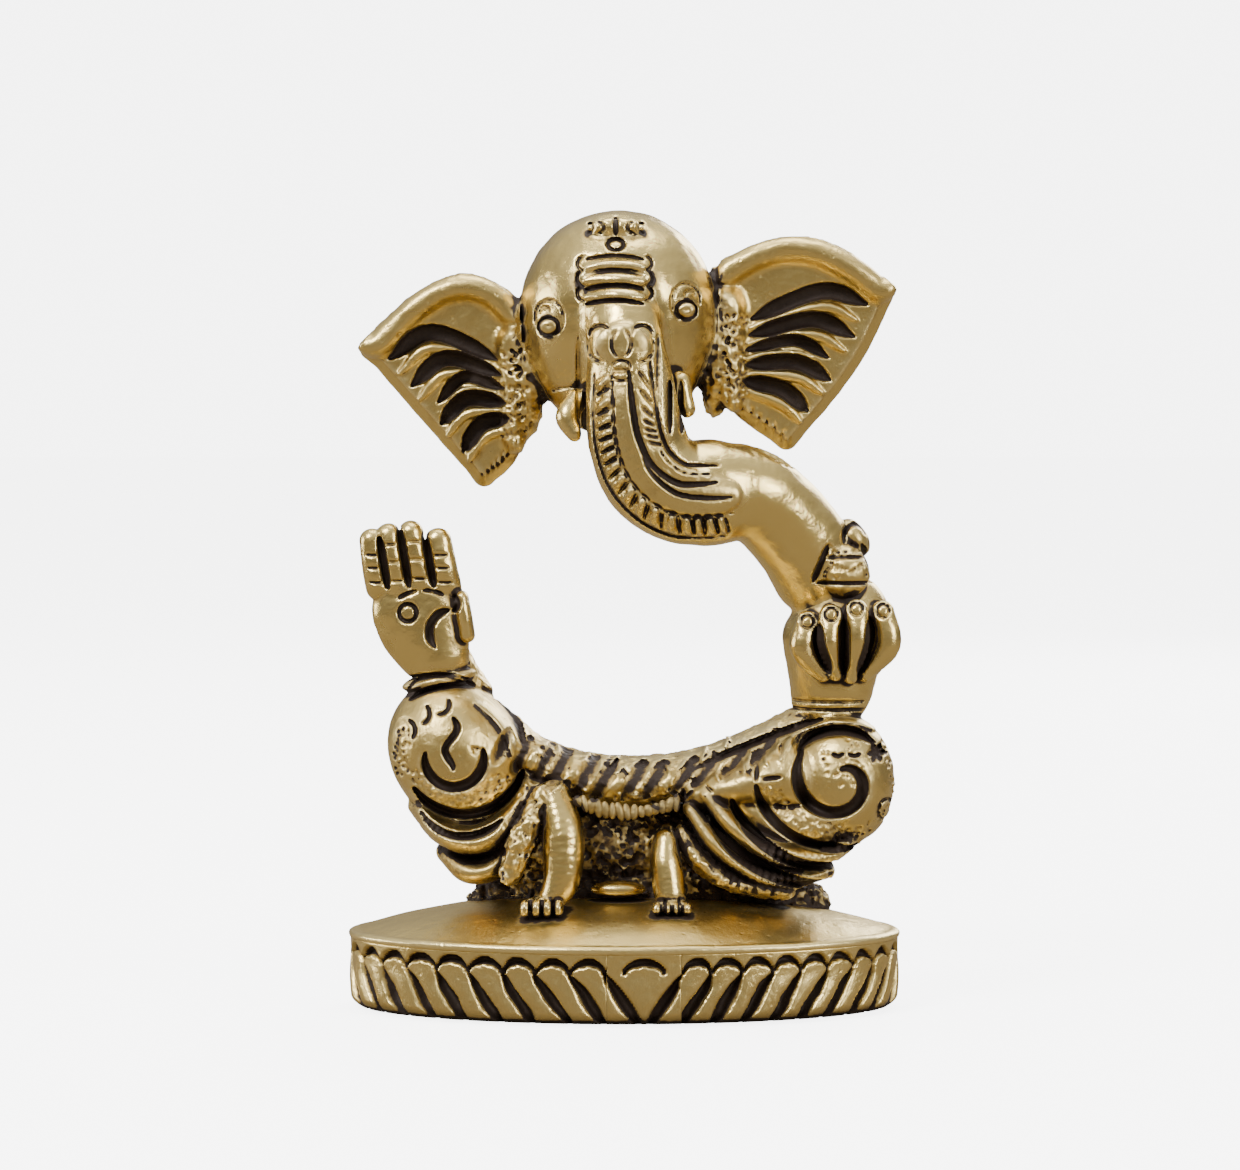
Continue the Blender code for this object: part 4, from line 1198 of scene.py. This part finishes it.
brass("polished_brass", (0.74, 0.56, 0.205), (0.36, 0.24, 0.08), 1.0, 0.4, 0.2, 0.5, 0.45)
brass("antique_brass", (0.7, 0.525, 0.19), (0.31, 0.205, 0.07), 1.1, 0.33, 0.25, 0.8, 0.7)
brass("satin_brass", (0.71, 0.54, 0.195), (0.33, 0.22, 0.07), 0.9, 0.36, 0.27, 0.9, 0.6)
brass("dark_patina", (0.38, 0.27, 0.1), (0.085, 0.05, 0.024), 1.3, 0.04, 0.38, 1.0, 0.9)
print("finishes:", list(finishes))

# %% [markdown]
# The plinth itself: the row of petals on each side, the buds where the rows meet, and the polished cap with
# its plain rim. The cap is turned from one profile round the oval, with a light unevenness from the file.

# %% The plinth
def petal_row(name, way, length):
    """One side's row of petals, starting beside the front bud."""
    pitch = length / PETALS_PER_SIDE
    tile = wall_piece("tile_" + name, BUD_HALF + np.linspace(0, 1, 23) * pitch, pitch)
    places = places_of(tile)
    places[:, 0] = (places[:, 0] - BUD_HALF) / (pitch * MM)  # one unit long, for the tree to scale
    move_points(tile, places)
    start = ring_length * 0.75 + front_bud[0] + way * BUD_HALF
    row = run_tree(name, petal_tree, {
        "Tile": tile, "Petals": PETALS_PER_SIDE, "Pitch": pitch * MM, "Start": start * MM, "Way": float(way),
        "Oval": (half_wide * MM, half_deep * MM, 1.0), "Finish": finishes["antique_brass"]})
    bpy.data.objects.remove(tile)
    print(name, "pitch in mm:", round(pitch, 2), "faces:", len(row.data.polygons))
    return row


def bud_piece(name, side):
    """The upright bud, bent to the oval at the front, where side is -1, or the back, where it is 1."""
    flat = wall_piece(name, np.linspace(-BUD_HALF, BUD_HALF, 37), 3.3, bud=True)
    x, y, z = places_of(flat).T
    along = front_bud[0] + x
    curve = half_deep * np.sqrt(1 - (along / half_wide) ** 2)
    move_points(flat, np.stack([along, side * (curve + y), z], axis=1))
    close_up(flat.data)
    return flat


side_length = ring_length / 2 - 2 * BUD_HALF
pieces["left_petal_band"] = petal_row("petals_left", -1, side_length + 2 * front_bud[0])
pieces["right_petal_band"] = petal_row("petals_right", 1, side_length - 2 * front_bud[0])
pieces["front_bud"] = bud_piece("bud_front", -1)
pieces["back_bud"] = bud_piece("bud_back", 1)


def turned_cap():
    """The cap: a rounded rim, then the dome, closed underneath."""
    under = WALL_TOP - 0.1
    edge = RIM_HEIGHT - 0.12
    shoulder = RIM_HEIGHT + DOME_RISE * (1 - 0.965**2.6)
    profile = [(0.5, under), (0.9, under), (0.985, under + 0.02), (0.997, under + 0.12)]
    profile += [(1.0, z) for z in np.linspace(under + 0.3, edge, 4)]
    profile += [(0.965 + 0.035 * math.cos(turn), edge + (shoulder - edge) * math.sin(turn))
                for turn in np.linspace(0.15, math.pi / 2 - 0.1, 7)]
    profile += [(r, None) for r in np.linspace(0.962, 0.0, 74)[:-1]]  # None follows the dome
    turns = np.linspace(0, 2 * np.pi, 240, endpoint=False)
    rows = []
    for reach, z in profile:
        x, y = cap_half[0] * reach * np.cos(turns), cap_half[1] * reach * np.sin(turns)
        rows.append(np.stack([x, y, dome_height(x, y) if z is None else np.full(len(turns), z)], axis=1))
    points = np.concatenate(rows)
    points[:, 2] += 0.05 * noise(points, 3.0, 2.0) * (points[:, 2] > RIM_HEIGHT - 0.3)
    piece = plain_mesh("cap", points, loop_faces(len(rows), len(turns)))
    close_up(piece.data)
    feel_surface(piece)
    return piece


pieces["plinth_cap"] = turned_cap()

# %% [markdown]
# Under the crescent hangs a fringe of beads. Geometry Nodes set them along the fringe's own path, each
# turned and sized a little differently by a fixed seed.

# %% The beaded fringe
fringe_tree, given, result = new_tree("Geometry", "bead_fringe", [
    ("Geometry", "Geometry"), ("Path", "Object"), ("Beads", "Int"), ("Size", "Float"), ("Seed", "Int"),
    ("Finish", "Material")])
make, reckon = tools(fringe_tree)
path_shape = make("GeometryNodeObjectInfo", {"Object": given["Path"]}, "Geometry")
threaded = make("GeometryNodeCurveToPoints", {"Curve": path_shape, "Count": given["Beads"]}, mode="COUNT")
bead = make("GeometryNodeMeshIcoSphere", {"Radius": given["Size"], "Subdivisions": 3})
size_and_turn = [
    make("FunctionNodeRandomValue", {"Min": low, "Max": high, "Seed": given["Seed"]},
         data_type="FLOAT_VECTOR")
    for low, high in (((0.7, 0.7, 0.9), (1.1, 1.0, 1.9)), ((-0.3, -0.5, -0.3), (0.3, 0.5, 0.3)))]
hung = make("GeometryNodeInstanceOnPoints", {
    "Points": threaded, "Instance": bead, "Scale": size_and_turn[0], "Rotation": size_and_turn[1]})
beads_real = make("GeometryNodeRealizeInstances", {"Geometry": hung})
beads_done = make("GeometryNodeSetMaterial", {"Geometry": beads_real, "Material": given["Finish"]})
fringe_tree.links.new(beads_done, result[0])


def path_object(name, points):
    """A curve object through points in millimetres."""
    curve = bpy.data.curves.new(name, "CURVE")
    curve.dimensions = "3D"
    spline = curve.splines.new("POLY")
    spline.points.add(len(points) - 1)
    for knot, point in zip(spline.points, points):
        knot.co = (*(np.array(point) * MM), 1)
    made = bpy.data.objects.new(name, curve)
    bpy.context.scene.collection.objects.link(made)
    return made


hem_points = [spot("waist_fringe", x, -0.35, z)
              for x, z in ((-0.95, 0.7), (-0.4, 0.1), (0.3, 0.0), (0.95, 0.6))]
fringe_path = path_object("fringe_path", smooth_path(hem_points, 4))
fringe = run_tree("fringe_beads", fringe_tree, {
    "Path": fringe_path, "Beads": 15, "Size": 0.5 * MM, "Seed": 3, "Finish": finishes["dark_patina"]})
bpy.data.objects.remove(fringe_path)
feel_surface(fringe, wear_share=0.15)
pieces["waist_fringe"] = fringe
print("beads' faces:", len(fringe.data.polygons))

# %% [markdown]
# Every piece takes the finish of its node in the record, stands for that node, and rides on the one body.
# The block inside the petals keeps its plain CAD shape, since only slivers of it show, with a better finish.

# %% Finishing and fixing the pieces
slots = {part["node"]: part["material_slot"] for part in frame["record"]["subparts"]}
for node, piece in pieces.items():
    piece.data.materials.clear()
    piece.data.materials.append(finishes[slots[node]])
    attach(piece, "root")
    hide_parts(node)
pieces["plinth_cap"].data.materials[0] = finishes["satin_brass"]
frame["nodes"]["plinth_core"].material_slots[0].material = finishes["dark_patina"]
triangles = sum(len(p.data.loops) - 2 * len(p.data.polygons) for p in pieces.values())
print("pieces:", len(pieces), "triangles:", triangles)

# %% [markdown]
# The studio: a pale floor, a bright open sky for the white surround, and soft lamps. Polished metal shows
# what is around it, so the sky that it reflects has a darker band low down, which draws the forms.

# %% The studio
FLOOR_REACH = 4000  # millimetres to each side
corners = np.array(((-1, -1, 0), (1, -1, 0), (1, 1, 0), (-1, 1, 0)))
floor = plain_mesh("floor", corners * FLOOR_REACH, [(0, 1, 2, 3)])
paper = bpy.data.materials.new("pale_floor")
paper.use_nodes = True
make, reckon = tools(paper.node_tree)
paper_shader = paper.node_tree.nodes["Principled BSDF"]
for label, value in (("Base Color", (0.86, 0.86, 0.86, 1)), ("Roughness", 0.9),
                     ("Emission Color", (1, 1, 1, 1)), ("Emission Strength", 5.2)):
    paper_shader.inputs[label].default_value = value
paper_dim = make("ShaderNodeBsdfDiffuse", {"Color": (0.2, 0.17, 0.13, 1)})
paper_mix = make("ShaderNodeMixShader", {
    0: make("ShaderNodeLightPath", out="Is Camera Ray"), 1: paper_dim, 2: paper_shader.outputs[0]})
paper.node_tree.links.new(paper_mix, paper.node_tree.nodes["Material Output"].inputs["Surface"])
floor.data.materials.append(paper)

world = bpy.data.worlds.new("studio_sky")
bpy.context.scene.world = world
world.use_nodes = True
world.node_tree.nodes.clear()
make, reckon = tools(world.node_tree)
upward = make("ShaderNodeSeparateXYZ", {"Vector": make("ShaderNodeTexCoord", out="Generated")}, "Z")
shade = make("ShaderNodeValToRGB", {"Fac": upward})
bands = shade.node.color_ramp.elements
bands.new(0.35)
for band, place, colour in zip(
        bands, (0.0, 0.35, 0.9), ((0.16, 0.145, 0.125), (0.42, 0.4, 0.37), (1, 1, 1))):
    band.position = place
    band.color = (*colour, 1)
seen = make("ShaderNodeLightPath", out="Is Camera Ray")
pale = make("ShaderNodeMix", {0: seen, 6: shade, 7: (6.0, 6.0, 6.0, 1)}, 2, data_type="RGBA")
air = make("ShaderNodeBackground", {"Strength": 1.0, "Color": pale})
sky_end = world.node_tree.nodes.new("ShaderNodeOutputWorld")
world.node_tree.links.new(air, sky_end.inputs["Surface"])

CAMERA_PLACE = Vector((-0.4, -400.0, 57.0)) * MM
CAMERA_AIM = Vector((-0.4, 0.0, 39.8)) * MM
FIGURE_MIDDLE = Vector((0.0, 0.0, 0.04))


def lamp(name, place, size, power):
    """A square soft light at a place in metres, turned to the figure."""
    data = bpy.data.lights.new(name, "AREA")
    data.size, data.energy = size, power
    made = bpy.data.objects.new(name, data)
    made.location = place
    made.rotation_euler = (FIGURE_MIDDLE - Vector(place)).to_track_quat("-Z", "Y").to_euler()
    bpy.context.scene.collection.objects.link(made)
    return made


lamp("key", (-0.3, -0.35, 0.5), 0.2, 4.0)
lamp("fill", (0.45, -0.35, 0.22), 0.18, 1.7)
lamp("top", (0.05, 0.1, 0.6), 0.35, 2.4)
lamp("left_strip", (-0.5, 0.05, 0.12), 0.15, 0.9)
lamp("back_strip", (0.25, 0.5, 0.25), 0.25, 1.6)

camera_data = bpy.data.cameras.new("camera")
camera_data.sensor_width = 36.0
camera_data.lens = 123.5
camera = bpy.data.objects.new("camera", camera_data)
camera.location = CAMERA_PLACE
camera.rotation_euler = (CAMERA_AIM - CAMERA_PLACE).to_track_quat("-Z", "Y").to_euler()
bpy.context.scene.collection.objects.link(camera)
bpy.context.scene.camera = camera
